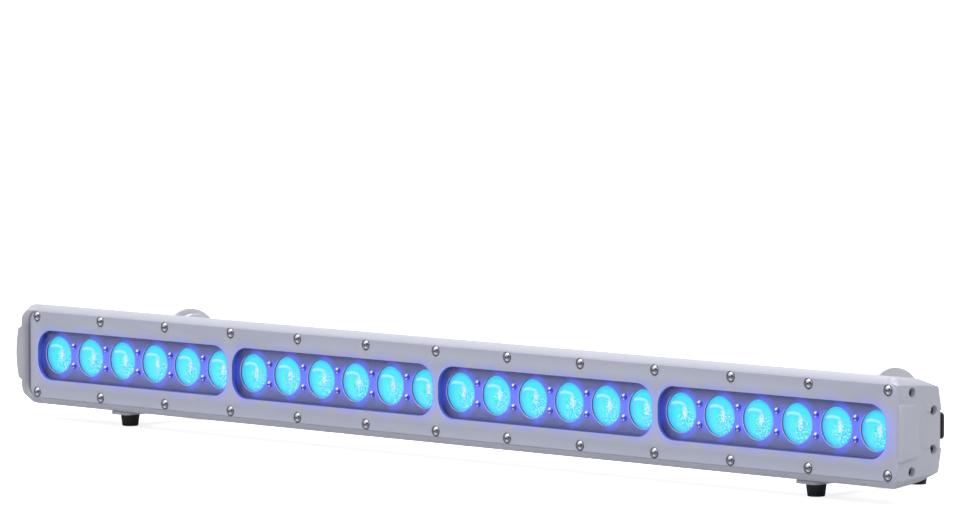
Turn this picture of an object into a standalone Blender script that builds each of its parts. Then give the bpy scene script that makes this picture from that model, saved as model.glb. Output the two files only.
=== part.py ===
# A slim LED stage bar: an extruded housing with a screwed front frame, four windows of six
# recessed lenses, two end caps, and a pair of tilting floor brackets on rubber feet.
# Metres, +Z up, the light shines along -Y. Pieces are laid out in the bar's own frame:
# X along the bar from the middle of the front frame, Y back from the frame's face, Z from
# mid-height. The empty "bar" carries that frame to the object's origin on the floor.

import math

import bmesh
import bpy
from mathutils import Matrix, Vector

# Clearances
GAP = 0.0003
HOLE_CLEARANCE = 0.0003

# Front frame, its windows and its screws. Its length and height set most of the rest.
FRAME_LENGTH = 0.979
FRAME_HEIGHT = 0.0744
FRAME_THICK = 0.0025
FRAME_CORNER = 0.0090
WINDOWS = 4
FRAME_END_MARGIN = 0.0079
WINDOW_PILLAR = 0.0060
WINDOW_BAND = 0.0161
WINDOW_CORNER = 0.0125
WINDOW_PITCH = (FRAME_LENGTH - 2 * FRAME_END_MARGIN) / WINDOWS
WINDOW_WIDTH = WINDOW_PITCH - WINDOW_PILLAR
WINDOW_HEIGHT = FRAME_HEIGHT - 2 * WINDOW_BAND
SCREW_COLUMNS = 3 * WINDOWS + 1
SCREW_END_MARGIN = 0.0095
SCREW_PITCH = (FRAME_LENGTH - 2 * SCREW_END_MARGIN) / (SCREW_COLUMNS - 1)
SCREW_EDGE = 0.0047
SCREW_Z = FRAME_HEIGHT / 2 - SCREW_EDGE
SCREW_SINK_R = 0.0046
SCREW_SINK_DEPTH = 0.0020

# What lies behind the windows
SEAL_THICK = 0.0012
SEAL_INSET = 0.0030
GLASS_THICK = 0.0050
PANE_MARGIN = 0.0056
PANE_CORNER = 0.0020
MASK_THICK = 0.0020
LENSES_PER_WINDOW = 6
LENS_PITCH = WINDOW_PITCH / LENSES_PER_WINDOW
LENS_HOLE_R = 0.0156
LENS_R = 0.0145
LENS_CROWN_R = 0.0082
LENS_RECESS = 0.0015
LENS_TAIL_R = 0.0050
CARRIER_THICK = 0.0018
LENS_DEPTH = 0.0106
BOARD_MARGIN = 0.0067
BOARD_THICK = 0.0016
SPREADER_THICK = 0.0040

# Housing extrusion
HOUSING_SHORTFALL = 0.0115
FRAME_RIM = 0.0055
BACK_DROP = 0.0024
SHOULDER_Y = 0.0045
TOP_BACK_Y = 0.0260
REAR_Y = 0.0495
REAR_FLAT_HALF = 0.0150
RIM_DROP = 0.0006
WALL = 0.0030
LEDGE_DEPTH = 0.0077
PORT_RIB_HALF = 0.0038
STOP_RIB_DEPTH = 0.0020
STOP_RIB_HEIGHT = 0.0040
ARC_STEPS = 8
HOUSING_LENGTH = FRAME_LENGTH - 2 * HOUSING_SHORTFALL
HALF_HEIGHT = FRAME_HEIGHT / 2 + FRAME_RIM
BACK_HALF_HEIGHT = HALF_HEIGHT - BACK_DROP

# End caps. The left one is the deeper and rounder, as the photograph shows it. A cap narrows
# from the housing's outline to its end face over the shoulder. High curve values make the
# shoulder square, and values near 1 make it a chamfer. The drops say how much lower the end
# face is than the housing, and rim_proud how far the rim stands in front of the housing's.
LEFT_CAP = {
    "name": "left",
    "side": -1,
    "face_x": FRAME_LENGTH / 2 + 0.0090,
    "shoulder": 0.0160,
    "curve_start": 3.0,
    "curve_end": 3.0,
    "rim_proud": 0.0020,
    "face_drop": 0.0185,
    "face_back_drop": 0.0202,
    "boss_rise": 0.0094,
    "screw_sink": 0.0062,
}
RIGHT_CAP = {
    "name": "right",
    "side": 1,
    "face_x": FRAME_LENGTH / 2 - 0.0006,
    "shoulder": 0.0058,
    "curve_start": 1.35,
    "curve_end": 1.0,
    "rim_proud": 0.0,
    "face_drop": 0.0063,
    "face_back_drop": 0.0094,
    "boss_rise": 0.0058,
    "screw_sink": 0.0040,
}
SHOULDER_STEPS = 8
RIM_RAMP = 0.38
CAP_SEAL_THICK = 0.0006
CAP_CORNER_R = 0.0028
CAP_CORNER_TURN = 75
CAP_CORNER_Y = REAR_Y - 0.0029
CAP_REAR_Y = REAR_Y + 0.0030
BOSS_SLOPE = 0.0018
BOSS_NOSE = 0.0030
BOSS_NOSE_SHARE = 0.2
BOSS_MARGIN = 0.0029
BOSS_TAPER = 0.0028
BOSS_LENGTH = 0.0290
BOSS_CROWN = 0.0030
BOSS_HALF = HALF_HEIGHT - LEFT_CAP["face_drop"] - BOSS_MARGIN
BOSS_BACK_HALF = BOSS_HALF - BOSS_TAPER
DISH_R = 0.0145
DISH_DEPTH = 0.0008
DISH_Y = REAR_Y - 0.0130
CAP_SCREW_FRONT_Y = 0.0180
CAP_SCREW_FRONT_DROP = 0.0125
CAP_SCREW_FRONT_Z = HALF_HEIGHT - CAP_SCREW_FRONT_DROP
CAP_SCREW_REAR_Y = REAR_Y - 0.0058
CAP_SCREW_REAR_Z = REAR_FLAT_HALF
CAP_SCREW_HEAD_R = 0.0036
CAP_SCREW_HEAD_HEIGHT = 0.0030
CAP_SCREW_SHANK_R = 0.0019
CAP_SCREW_ENGAGE = 0.0080
LEFT_CAP_POCKET_DEPTH = 0.0080

# Electronics
SUPPLY_LENGTH = 0.220
SUPPLY_DEPTH = 0.0110
SUPPLY_ROOM = 0.0103
SUPPLY_CORNER = 0.0030
CONTROL_LENGTH = 0.160
CONTROL_THICK = 0.0016
CONTROL_ROOM = 0.0040
CONTROL_PART_HEIGHT = 0.0070
CONTROL_PART_SHARES = (-0.30, 0.02, 0.30)
CONTROL_PART_WIDTHS = (0.030, 0.018, 0.024)
SUPPLY_HEIGHT = 2 * (BACK_HALF_HEIGHT - SUPPLY_ROOM)
SUPPLY_X = -0.178 * HOUSING_LENGTH
CONTROL_HEIGHT = SUPPLY_HEIGHT - 2 * CONTROL_ROOM
CONTROL_X = 0.178 * HOUSING_LENGTH

# Rear sockets and their hinged caps
SOCKET_END_GAP = 0.0140
SOCKET_SPACING = 0.0330
OUTER_SOCKET_X = HOUSING_LENGTH / 2 - SOCKET_END_GAP
INNER_SOCKET_X = OUTER_SOCKET_X - SOCKET_SPACING
SOCKET_XS = (-OUTER_SOCKET_X, -INNER_SOCKET_X, INNER_SOCKET_X, OUTER_SOCKET_X)
SOCKET_NAMES = ("power_out", "data_out", "data_in", "power_in")
SOCKET_HALF = 0.0098
SOCKET_CORNER = 0.0030
SOCKET_BORE_R = 0.0078
SOCKET_REACH = 0.0181
SOCKET_BORE_DEPTH = 0.0130
SOCKET_TAIL_R = 0.0088
SOCKET_TAIL = 0.0060
SOCKET_FLANGE_HALF = 0.0130
SOCKET_FLANGE_THICK = 0.0020
FLAP_HALF = 0.0104
FLAP_ROOT_Z = 0.0064
FLAP_THICK = 0.0028
FLAP_PIN_R = 0.0010
FLAP_KNUCKLE_R = 0.0024
FLAP_KNUCKLE_WIDTH = 0.0060
FLAP_EAR_THICK = 0.0020

# Display panel and its buttons
PANEL_LENGTH = 0.0840
PANEL_HEIGHT = 0.0260
PANEL_THICK = 0.0020
PANEL_CORNER = 0.0030
PANEL_END_GAP = 0.1780
PANEL_X = HOUSING_LENGTH / 2 - PANEL_END_GAP
DISPLAY_MARGIN = 0.0040
DISPLAY_LENGTH = 0.0300
DISPLAY_HEIGHT = 0.0140
DISPLAY_DEPTH = 0.0008
DISPLAY_CORNER = 0.0010
BUTTONS = ("menu", "up", "down", "enter")
BUTTON_R = 0.0030
BUTTON_PITCH = 0.0105
BUTTON_PROUD = 0.0012
BUTTON_TOP_R = 0.0024
BUTTON_TRAVEL = 0.0008

# Floor brackets, their hinges and feet
BRACKET_END_GAP = 0.1015
BRACKET_X = FRAME_LENGTH / 2 - BRACKET_END_GAP
BRACKET_WIDTH = 0.0230
BRACKET_THICK = 0.0026
BRACKET_FRONT_Y = 0.0100
BRACKET_REAR_Y = 0.1535
BRACKET_UNDER_GAP = 0.0013
BRACKET_CORNER = 0.0050
EAR_THICK = 0.0030
HINGE_Y = 0.1012
HINGE_Z = 0.0010
EAR_R = 0.0370
EAR_FOOT_HALF = 0.0290
ARM_R = 0.0330
ARM_THICK = 0.0050
ARM_HALF = 0.0120
ARM_PAD_WIDTH = 0.0300
ARM_PAD_THICK = 0.0040
ARM_PAD_CORNER = 0.0040
WASHER_R = 0.0300
WASHER_THICK = 0.0020
BOLT_R = 0.0050
KNOB_R = 0.0140
KNOB_GRIP_DEPTH = 0.0014
KNOB_LOBES = 8
KNOB_HEIGHT = 0.0110
CLAMP_HOLE_R = 0.0053
FOOT_TOP_R = 0.0082
FOOT_BOTTOM_R = 0.0068
FOOT_HEIGHT = 0.0099
FRONT_FOOT_Y = BRACKET_FRONT_Y + 0.0135
REAR_FOOT_Y = BRACKET_REAR_Y - 0.0100

# Places along the depth, each one seated on the piece before it
SEAT_Y = FRAME_THICK + GAP
LEDGE_Y = SEAT_Y + SEAL_THICK + GAP
MASK_Y = SEAT_Y + GLASS_THICK + GAP
LENS_FACE_Y = MASK_Y + LENS_RECESS
CARRIER_Y = MASK_Y + MASK_THICK + GAP
BOARD_Y = CARRIER_Y + LENS_DEPTH + GAP
PORT_RIB_BACK_Y = BOARD_Y + BOARD_THICK
SPREADER_Y = PORT_RIB_BACK_Y + GAP
STOP_RIB_Y = SPREADER_Y + SPREADER_THICK + GAP
LEDGE_BACK_Y = LEDGE_Y + LEDGE_DEPTH
ELECTRONICS_Y = STOP_RIB_Y

# Heights
PANE_HALF = WINDOW_HEIGHT / 2 + PANE_MARGIN
BOARD_HALF = PANE_HALF - BOARD_MARGIN
LEDGE_HALF = PANE_HALF + GAP
POCKET_HALF = FRAME_HEIGHT / 2 + GAP
SEAL_SEAT_HALF = POCKET_HALF - SEAL_INSET
PORT_RIB_INNER = CAP_SCREW_FRONT_Z - PORT_RIB_HALF
BRACKET_TOP_Z = -HALF_HEIGHT - BRACKET_UNDER_GAP
FOOT_TOP_Z = BRACKET_TOP_Z - BRACKET_THICK - GAP
FLOOR_Z = FOOT_TOP_Z - FOOT_HEIGHT

# Places along the bar
HOUSING_END_X = HOUSING_LENGTH / 2
CAP_START_X = HOUSING_END_X + GAP + CAP_SEAL_THICK + GAP
PANE_LENGTH = WINDOW_PITCH - 2 * GAP
STACK_END_X = WINDOWS * WINDOW_PITCH / 2 + GAP
EAR_X = BRACKET_X + BRACKET_WIDTH / 2 - EAR_THICK
ARM_X = EAR_X - GAP - WASHER_THICK - GAP - ARM_THICK

# The object's origin: the middle of its footprint, on the floor
RIGHT_END_X = RIGHT_CAP["face_x"] + RIGHT_CAP["boss_rise"]
LEFT_END_X = -LEFT_CAP["face_x"] - LEFT_CAP["boss_rise"]
ORIGIN_X = (RIGHT_END_X + LEFT_END_X) / 2
FRONT_END_Y = RIM_DROP - LEFT_CAP["rim_proud"]
ORIGIN_Y = (BRACKET_REAR_Y + FRONT_END_Y) / 2

GREY_PAINT = ("grey_paint", (0.40, 0.41, 0.45), 0.42, 0.35)
DARK_STEEL = ("dark_steel", (0.22, 0.22, 0.24), 0.35, 0.9)
ALUMINIUM = ("aluminium", (0.62, 0.63, 0.65), 0.38, 0.9)
BLACK_PLASTIC = ("black_plastic", (0.016, 0.016, 0.018), 0.45, 0.0)
RUBBER = ("rubber", (0.012, 0.012, 0.013), 0.75, 0.0)
SEAL_FOAM = ("seal_foam", (0.05, 0.05, 0.055), 0.85, 0.0)
GLASS = ("glass", (0.90, 0.95, 1.0), 0.05, 0.0)
MASK_BLUE = ("mask_blue", (0.10, 0.12, 0.55), 0.40, 0.0)
LENS_CYAN = ("lens_cyan", (0.05, 0.80, 1.0), 0.15, 0.0)
BOARD_WHITE = ("board_white", (0.75, 0.76, 0.74), 0.50, 0.0)
BOARD_GREEN = ("board_green", (0.02, 0.20, 0.09), 0.50, 0.0)


def clear_scene():
    for obj in list(bpy.data.objects):
        bpy.data.objects.remove(obj, do_unlink=True)


def material(finish):
    name, colour, roughness, metallic = finish
    made = bpy.data.materials.get(name)
    if made is None:
        made = bpy.data.materials.new(name)
        made.use_nodes = True
        shader = made.node_tree.nodes["Principled BSDF"]
        shader.inputs["Base Color"].default_value = (*colour, 1.0)
        shader.inputs["Roughness"].default_value = roughness
        shader.inputs["Metallic"].default_value = metallic
        made.diffuse_color = (*colour, 1.0)
    return made


def empty(name, place, parent=None):
    made = bpy.data.objects.new(name, None)
    bpy.context.scene.collection.objects.link(made)
    made.parent = parent
    made.location = place
    return made


def piece(name, shape, finish, parent, place=(0.0, 0.0, 0.0)):
    """Makes a bmesh, drawn in the bar's frame, into an object whose origin is at place."""
    bmesh.ops.recalc_face_normals(shape, faces=shape.faces)
    bmesh.ops.translate(shape, verts=shape.verts, vec=-Vector(place))
    mesh = bpy.data.meshes.new(name)
    shape.to_mesh(mesh)
    shape.free()
    made = bpy.data.objects.new(name, mesh)
    bpy.context.scene.collection.objects.link(made)
    mesh.materials.append(material(finish))
    mesh.shade_smooth()
    mesh.set_sharp_from_angle(angle=math.radians(35))
    made.parent = parent
    made.location = place
    return made


def change(target, name, shape, operation):
    """Cuts a helper solid from the target, or joins it on, with a live Boolean."""
    place = target.location.copy()
    helper = piece(name, shape, GREY_PAINT, target.parent, place)
    helper.hide_render = True
    helper.display_type = "WIRE"
    boolean = target.modifiers.new(name, "BOOLEAN")
    boolean.operation = operation
    boolean.object = helper


def merge(shapes):
    """Several bmeshes as one, kept as separate solids."""
    whole = shapes[0]
    for shape in shapes[1:]:
        copies = {vert: whole.verts.new(vert.co) for vert in shape.verts}
        for face in shape.faces:
            whole.faces.new([copies[vert] for vert in face.verts])
        shape.free()
    return whole


def loft(rings):
    """A closed solid through rings of points, one face at each end."""
    shape = bmesh.new()
    made = [[shape.verts.new(point) for point in ring] for ring in rings]
    shape.faces.new(list(reversed(made[0])))
    shape.faces.new(made[-1])
    count = len(made[0])
    for near, far in zip(made, made[1:]):
        for i in range(count):
            j = (i + 1) % count
            shape.faces.new((near[i], near[j], far[j], far[i]))
    return shape


def prism_x(outline, start, end):
    """An outline of (y, z) points, drawn out along X."""
    return loft([[(x, y, z) for y, z in outline] for x in (start, end)])


def prism_y(outline, start, end):
    """An outline of (x, z) points, drawn out along Y."""
    return loft([[(x, y, z) for x, z in outline] for y in (start, end)])


def prism_z(outline, start, end):
    """An outline of (x, y) points, drawn out along Z."""
    return loft([[(x, y, z) for x, y in outline] for z in (start, end)])


def box(low, high):
    outline = [(low[0], low[1]), (high[0], low[1]), (high[0], high[1]), (low[0], high[1])]
    return prism_z(outline, low[2], high[2])


def arc(centre, radius, start, end, steps):
    """Points of an arc, angles in degrees."""
    points = []
    for i in range(steps + 1):
        angle = math.radians(start + (end - start) * i / steps)
        points.append((centre[0] + radius * math.cos(angle), centre[1] + radius * math.sin(angle)))
    return points


def circle(centre, radius, steps):
    return arc(centre, radius, 0, 360, steps)[:-1]


def rounded_rectangle(centre, width, height, radius, steps=ARC_STEPS):
    points = []
    for quarter, (side, up) in enumerate(((1, 1), (-1, 1), (-1, -1), (1, -1))):
        corner = (
            centre[0] + side * (width / 2 - radius),
            centre[1] + up * (height / 2 - radius),
        )
        points += arc(corner, radius, 90 * quarter, 90 * quarter + 90, steps)
    return points


def turned(profile, axis, centre, steps):
    """A solid turned about an axis. The profile holds (distance along the axis, radius)."""
    rings = []
    for along, radius in profile:
        ring = []
        for a, b in circle((0.0, 0.0), radius, steps):
            offset = {"X": (along, a, b), "Y": (a, along, b), "Z": (a, b, along)}[axis]
            ring.append(tuple(c + o for c, o in zip(centre, offset)))
        rings.append(ring)
    return loft(rings)


def mirrored(upper):
    """The outline of an upper half, from front to rear, closed through its mirror image."""
    return upper + [(y, -z) for y, z in reversed(upper)]


def swell(centre, reach, rise):
    """Points along a quarter ellipse, from its top to its rear."""
    points = []
    for i in range(ARC_STEPS + 1):
        angle = math.radians(90 * i / ARC_STEPS)
        points.append((centre[0] + reach * math.sin(angle), centre[1] + rise * math.cos(angle)))
    return points


def outer_half():
    """The housing's outer outline above mid-height."""
    rise = BACK_HALF_HEIGHT - REAR_FLAT_HALF
    rear = swell((TOP_BACK_Y, REAR_FLAT_HALF), REAR_Y - TOP_BACK_Y, rise)
    return [(RIM_DROP, POCKET_HALF), (SHOULDER_Y, HALF_HEIGHT)] + rear


def face_half(cap):
    """The outline of a cap's end face above mid-height, with as many points."""
    half = HALF_HEIGHT - cap["face_drop"]
    corner_z = HALF_HEIGHT - cap["face_back_drop"] - CAP_CORNER_R
    corner = arc((CAP_CORNER_Y, corner_z), CAP_CORNER_R, 90, 90 - CAP_CORNER_TURN, ARC_STEPS - 1)
    return [(RIM_DROP, half), (SHOULDER_Y, half)] + corner + [(CAP_REAR_Y, REAR_FLAT_HALF)]


def roof(y):
    """Half-height inside the housing at a depth y, in front of the rounded rear."""
    slope = (BACK_HALF_HEIGHT - HALF_HEIGHT) / (TOP_BACK_Y - SHOULDER_Y)
    return HALF_HEIGHT - WALL + slope * (y - SHOULDER_Y)


def inner_half():
    """The housing's inner outline above mid-height, from rear to front, ribs included."""
    rear_rib_front = CAP_SCREW_REAR_Y - PORT_RIB_HALF
    rear_wall = REAR_Y - WALL
    rib_low = CAP_SCREW_REAR_Z - PORT_RIB_HALF
    rib_high = CAP_SCREW_REAR_Z + PORT_RIB_HALF
    rise = BACK_HALF_HEIGHT - WALL - rib_high
    curve = swell((TOP_BACK_Y, rib_high), rear_wall - TOP_BACK_Y - WALL / 2, rise)
    port_rib_front = CAP_SCREW_FRONT_Y - PORT_RIB_HALF
    stop_rib_back = STOP_RIB_Y + STOP_RIB_DEPTH
    points = [
        (rear_wall, rib_low),
        (rear_rib_front, rib_low),
        (rear_rib_front, rib_high),
    ]
    points += [point for point in reversed(curve[:-1]) if point[0] > stop_rib_back + GAP]
    points += [
        (stop_rib_back, roof(TOP_BACK_Y)),
        (stop_rib_back, roof(stop_rib_back) - STOP_RIB_HEIGHT),
        (STOP_RIB_Y, roof(stop_rib_back) - STOP_RIB_HEIGHT),
        (STOP_RIB_Y, roof(STOP_RIB_Y)),
        (PORT_RIB_BACK_Y, roof(PORT_RIB_BACK_Y)),
        (PORT_RIB_BACK_Y, PORT_RIB_INNER),
        (port_rib_front, PORT_RIB_INNER),
        (port_rib_front, roof(port_rib_front)),
        (LEDGE_BACK_Y, roof(LEDGE_BACK_Y)),
        (LEDGE_BACK_Y, LEDGE_HALF),
        (LEDGE_Y, LEDGE_HALF),
        (LEDGE_Y, SEAL_SEAT_HALF),
        (SEAT_Y, SEAL_SEAT_HALF),
        (SEAT_Y, POCKET_HALF),
    ]
    return points


def window_xs():
    return [(i - (WINDOWS - 1) / 2) * WINDOW_PITCH for i in range(WINDOWS)]


def lens_xs(window_x):
    half = (LENSES_PER_WINDOW - 1) / 2
    return [window_x + (i - half) * LENS_PITCH for i in range(LENSES_PER_WINDOW)]


def cap_screw_places():
    front = [(CAP_SCREW_FRONT_Y, up * CAP_SCREW_FRONT_Z) for up in (1, -1)]
    rear = [(CAP_SCREW_REAR_Y, up * CAP_SCREW_REAR_Z) for up in (1, -1)]
    return front + rear


def frame_pocket():
    """The seat that the front frame and, a step deeper and narrower, its seal lie in."""
    rings = []
    for y, inset in ((-FRAME_THICK, 0), (SEAT_Y, 0), (SEAT_Y, SEAL_INSET), (LEDGE_Y, SEAL_INSET)):
        margin = 2 * (GAP - inset)
        size = (FRAME_LENGTH + margin, FRAME_HEIGHT + margin)
        outline = rounded_rectangle((0.0, 0.0), *size, FRAME_CORNER + GAP - inset)
        rings.append([(x, y, z) for x, z in outline])
    return loft(rings)


def make_housing(bar):
    upper_in = inner_half()
    lower_in = [(y, -z) for y, z in reversed(upper_in)]
    outline = mirrored(outer_half()) + lower_in + upper_in
    housing = piece(
        "housing", prism_x(outline, -HOUSING_END_X, HOUSING_END_X), GREY_PAINT, bar
    )
    ports = []
    for side in (-1, 1):
        for y, z in cap_screw_places():
            profile = [(-CAP_SCREW_ENGAGE - WALL, CAP_SCREW_SHANK_R + HOLE_CLEARANCE)]
            profile.append((WALL, CAP_SCREW_SHANK_R + HOLE_CLEARANCE))
            centre = (side * HOUSING_END_X, y, z)
            run = [(side * along, radius) for along, radius in profile]
            ports.append(turned(run, "X", centre, 8))
    change(housing, "screw_ports", merge(ports), "DIFFERENCE")
    holes = []
    for x in SOCKET_XS:
        run = [(-2 * WALL, SOCKET_TAIL_R + HOLE_CLEARANCE), (WALL, SOCKET_TAIL_R + HOLE_CLEARANCE)]
        holes.append(turned(run, "Y", (x, REAR_Y, 0.0), 14))
    change(housing, "socket_holes", merge(holes), "DIFFERENCE")


def make_front_frame(bar):
    outline = rounded_rectangle((0.0, 0.0), FRAME_LENGTH, FRAME_HEIGHT, FRAME_CORNER)
    frame = piece("front_frame", prism_y(outline, 0.0, FRAME_THICK), GREY_PAINT, bar)
    windows = []
    for x in window_xs():
        cut = rounded_rectangle((x, 0.0), WINDOW_WIDTH, WINDOW_HEIGHT, WINDOW_CORNER)
        windows.append(prism_y(cut, -FRAME_THICK, 2 * FRAME_THICK))
    change(frame, "window_openings", merge(windows), "DIFFERENCE")
    sinks = []
    for column in range(SCREW_COLUMNS):
        x = (column - (SCREW_COLUMNS - 1) / 2) * SCREW_PITCH
        for up in (1, -1):
            centre = (x, 0.0, up * SCREW_Z)
            run = [(-SCREW_SINK_DEPTH, SCREW_SINK_R), (SCREW_SINK_DEPTH, SCREW_SINK_R)]
            sinks.append(turned(run, "Y", centre, 8))
    change(frame, "screw_sinks", merge(sinks), "DIFFERENCE")


def make_frame_seal(bar):
    size = (FRAME_LENGTH - 2 * SEAL_INSET, FRAME_HEIGHT - 2 * SEAL_INSET)
    outline = rounded_rectangle((0.0, 0.0), *size, FRAME_CORNER - SEAL_INSET)
    seal = piece("frame_seal", prism_y(outline, SEAT_Y, SEAT_Y + SEAL_THICK), SEAL_FOAM, bar)
    inner_length = 2 * (STACK_END_X + GAP)
    inner_height = 2 * (LEDGE_HALF + GAP)
    inner = rounded_rectangle((0.0, 0.0), inner_length, inner_height, WALL, 2)
    change(seal, "seal_opening", prism_y(inner, 0.0, LEDGE_Y), "DIFFERENCE")


def make_light_stack(bar):
    """Behind each window: a pane, a mask plate, a strip of lenses and the board they stand on."""
    for number, window_x in enumerate(window_xs(), 1):
        pane = rounded_rectangle((window_x, 0.0), PANE_LENGTH, 2 * PANE_HALF, PANE_CORNER, 2)
        piece(f"glass_pane_{number}", prism_y(pane, SEAT_Y, SEAT_Y + GLASS_THICK), GLASS, bar)

        mask = piece(
            f"mask_plate_{number}",
            prism_y(pane, MASK_Y, MASK_Y + MASK_THICK),
            MASK_BLUE,
            bar,
        )
        holes = []
        lenses = []
        for x in lens_xs(window_x):
            run = [(0.0, LENS_HOLE_R), (2 * MASK_THICK, LENS_HOLE_R)]
            holes.append(turned(run, "Y", (x, MASK_Y - MASK_THICK / 2, 0.0), 16))
            body = [
                (LENS_FACE_Y, LENS_CROWN_R),
                (LENS_FACE_Y + MASK_THICK / 4, LENS_R),
                (CARRIER_Y + CARRIER_THICK, LENS_R),
                (CARRIER_Y + LENS_DEPTH, LENS_TAIL_R),
            ]
            lenses.append(turned(body, "Y", (x, 0.0, 0.0), 12))
        change(mask, f"mask_holes_{number}", merge(holes), "DIFFERENCE")

        board = rounded_rectangle((window_x, 0.0), PANE_LENGTH, 2 * BOARD_HALF, PANE_CORNER, 1)
        strip = piece(
            f"lens_strip_{number}",
            prism_y(board, CARRIER_Y, CARRIER_Y + CARRIER_THICK),
            LENS_CYAN,
            bar,
        )
        change(strip, f"lens_bodies_{number}", merge(lenses), "UNION")
        piece(
            f"led_board_{number}",
            prism_y(board, BOARD_Y, BOARD_Y + BOARD_THICK),
            BOARD_WHITE,
            bar,
        )


def make_electronics(bar):
    half = roof(SPREADER_Y + SPREADER_THICK) - GAP
    low = (-HOUSING_END_X, SPREADER_Y, -half)
    high = (HOUSING_END_X, SPREADER_Y + SPREADER_THICK, half)
    piece("heat_spreader", box(low, high), ALUMINIUM, bar)

    outline = rounded_rectangle((SUPPLY_X, 0.0), SUPPLY_LENGTH, SUPPLY_HEIGHT, SUPPLY_CORNER, 2)
    supply = prism_y(outline, ELECTRONICS_Y, ELECTRONICS_Y + SUPPLY_DEPTH)
    piece("power_supply", supply, ALUMINIUM, bar)

    low = (CONTROL_X - CONTROL_LENGTH / 2, ELECTRONICS_Y, -CONTROL_HEIGHT / 2)
    high = (CONTROL_X + CONTROL_LENGTH / 2, ELECTRONICS_Y + CONTROL_THICK, CONTROL_HEIGHT / 2)
    board = piece("control_board", box(low, high), BOARD_GREEN, bar)
    parts = []
    for share, width in zip(CONTROL_PART_SHARES, CONTROL_PART_WIDTHS):
        x = CONTROL_X + share * CONTROL_LENGTH
        top = ELECTRONICS_Y + CONTROL_THICK + CONTROL_PART_HEIGHT
        near = (x - width / 2, ELECTRONICS_Y + CONTROL_THICK / 2, -width / 2)
        parts.append(box(near, (x + width / 2, top, width / 2)))
    change(board, "control_parts", merge(parts), "UNION")


def cap_rings(cap):
    """The rings of an end cap, from the housing's outline out to the smaller end face."""
    full = mirrored(outer_half())
    face = mirrored(face_half(cap))
    side = cap["side"]
    start = cap["face_x"] - cap["shoulder"]
    rings = [[(side * CAP_START_X, y, z) for y, z in full]]
    for i in range(SHOULDER_STEPS + 1):
        share = math.sin(math.radians(90 * i / SHOULDER_STEPS))
        x = start + cap["shoulder"] * share
        blend = 1 - (1 - share ** cap["curve_start"]) ** (1 / cap["curve_end"])
        proud = cap["rim_proud"] * min(1.0, share / RIM_RAMP)
        ring = []
        for (full_y, full_z), (face_y, face_z) in zip(full, face):
            forward = proud if full_y == RIM_DROP else 0.0
            y = full_y + (face_y - full_y) * blend - forward
            ring.append((side * x, y, full_z + (face_z - full_z) * blend))
        rings.append(ring)
    return rings


def boss_rows():
    """The boss row by row, as places and shares of its rise: a round nose, then a long fall."""
    rows = []
    for i in range(5):
        angle = math.radians(90 * i / 4)
        rise = BOSS_NOSE_SHARE + (1 - BOSS_NOSE_SHARE) * math.sin(angle)
        rows.append((BOSS_NOSE * (1 - math.cos(angle)), rise))
    for i in range(1, 7):
        share = i / 6
        rows.append((BOSS_NOSE + share * (BOSS_LENGTH - BOSS_NOSE), 1 - share ** 2))
    return rows


def cap_boss(cap):
    """The crowned boss on an end face: proud at the front, running out towards the rear."""
    columns = 11
    side = cap["side"]
    root = cap["face_x"] - BOSS_NOSE
    rings = []
    for along, rise in boss_rows():
        share = along / BOSS_LENGTH
        y = RIM_DROP - cap["rim_proud"] + along
        half = BOSS_HALF + (BOSS_BACK_HALF - BOSS_HALF) * share
        foot = half + BOSS_SLOPE
        ring = [(side * root, y, -foot), (side * root, y, foot)]
        ring.append((side * cap["face_x"], y, foot))
        for j in range(columns):
            across = 1 - 2 * j / (columns - 1)
            top = rise * (cap["boss_rise"] - BOSS_CROWN * across ** 2)
            ring.append((side * (cap["face_x"] + top), y, half * across))
        ring.append((side * cap["face_x"], y, -foot))
        rings.append(ring)
    return loft(rings)


def make_end_cap(bar, data):
    name, side, face_x = data["name"], data["side"], data["face_x"]
    cap = piece(f"{name}_end_cap", loft(cap_rings(data)), GREY_PAINT, bar)
    change(cap, f"{name}_boss", cap_boss(data), "UNION")
    change(cap, f"{name}_frame_pocket", frame_pocket(), "DIFFERENCE")
    stack_low = (min(0, side * (STACK_END_X + GAP)), 0.0, -LEDGE_HALF)
    stack_high = (max(0, side * (STACK_END_X + GAP)), PORT_RIB_BACK_Y + GAP, LEDGE_HALF)
    change(cap, f"{name}_stack_pocket", box(stack_low, stack_high), "DIFFERENCE")
    dish = turned([(-DISH_DEPTH, DISH_R), (WALL, DISH_R)], "X", (face_x, DISH_Y, 0.0), 24)
    run_out = box(
        (face_x - DISH_DEPTH, DISH_Y, -DISH_R), (face_x + WALL, REAR_Y + WALL, DISH_R)
    )
    for number, tool in enumerate((dish, run_out), 1):
        bmesh.ops.scale(tool, verts=tool.verts, vec=(side, 1.0, 1.0))
        change(cap, f"{name}_dish_{number}", tool, "DIFFERENCE")
    holes = []
    for y, z in cap_screw_places():
        sink = face_x - data["screw_sink"] - CAP_SCREW_HEAD_HEIGHT
        shank = CAP_SCREW_SHANK_R + HOLE_CLEARANCE
        head = CAP_SCREW_HEAD_R + HOLE_CLEARANCE
        run = [(HOUSING_END_X, shank), (sink, shank), (sink, head), (face_x + WALL, head)]
        run = [(side * along, radius) for along, radius in run]
        holes.append(turned(run, "X", (0.0, y, z), 10))
    change(cap, f"{name}_screw_holes", merge(holes), "DIFFERENCE")
    if name == "left":
        half = PORT_RIB_INNER - PORT_RIB_HALF
        deep_x = -CAP_START_X - LEFT_CAP_POCKET_DEPTH
        low = (deep_x, CAP_SCREW_FRONT_Y + PORT_RIB_HALF, -half)
        high = (0.0, CAP_SCREW_REAR_Y - 2 * PORT_RIB_HALF, half)
        change(cap, "left_wiring_pocket", box(low, high), "DIFFERENCE")


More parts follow.
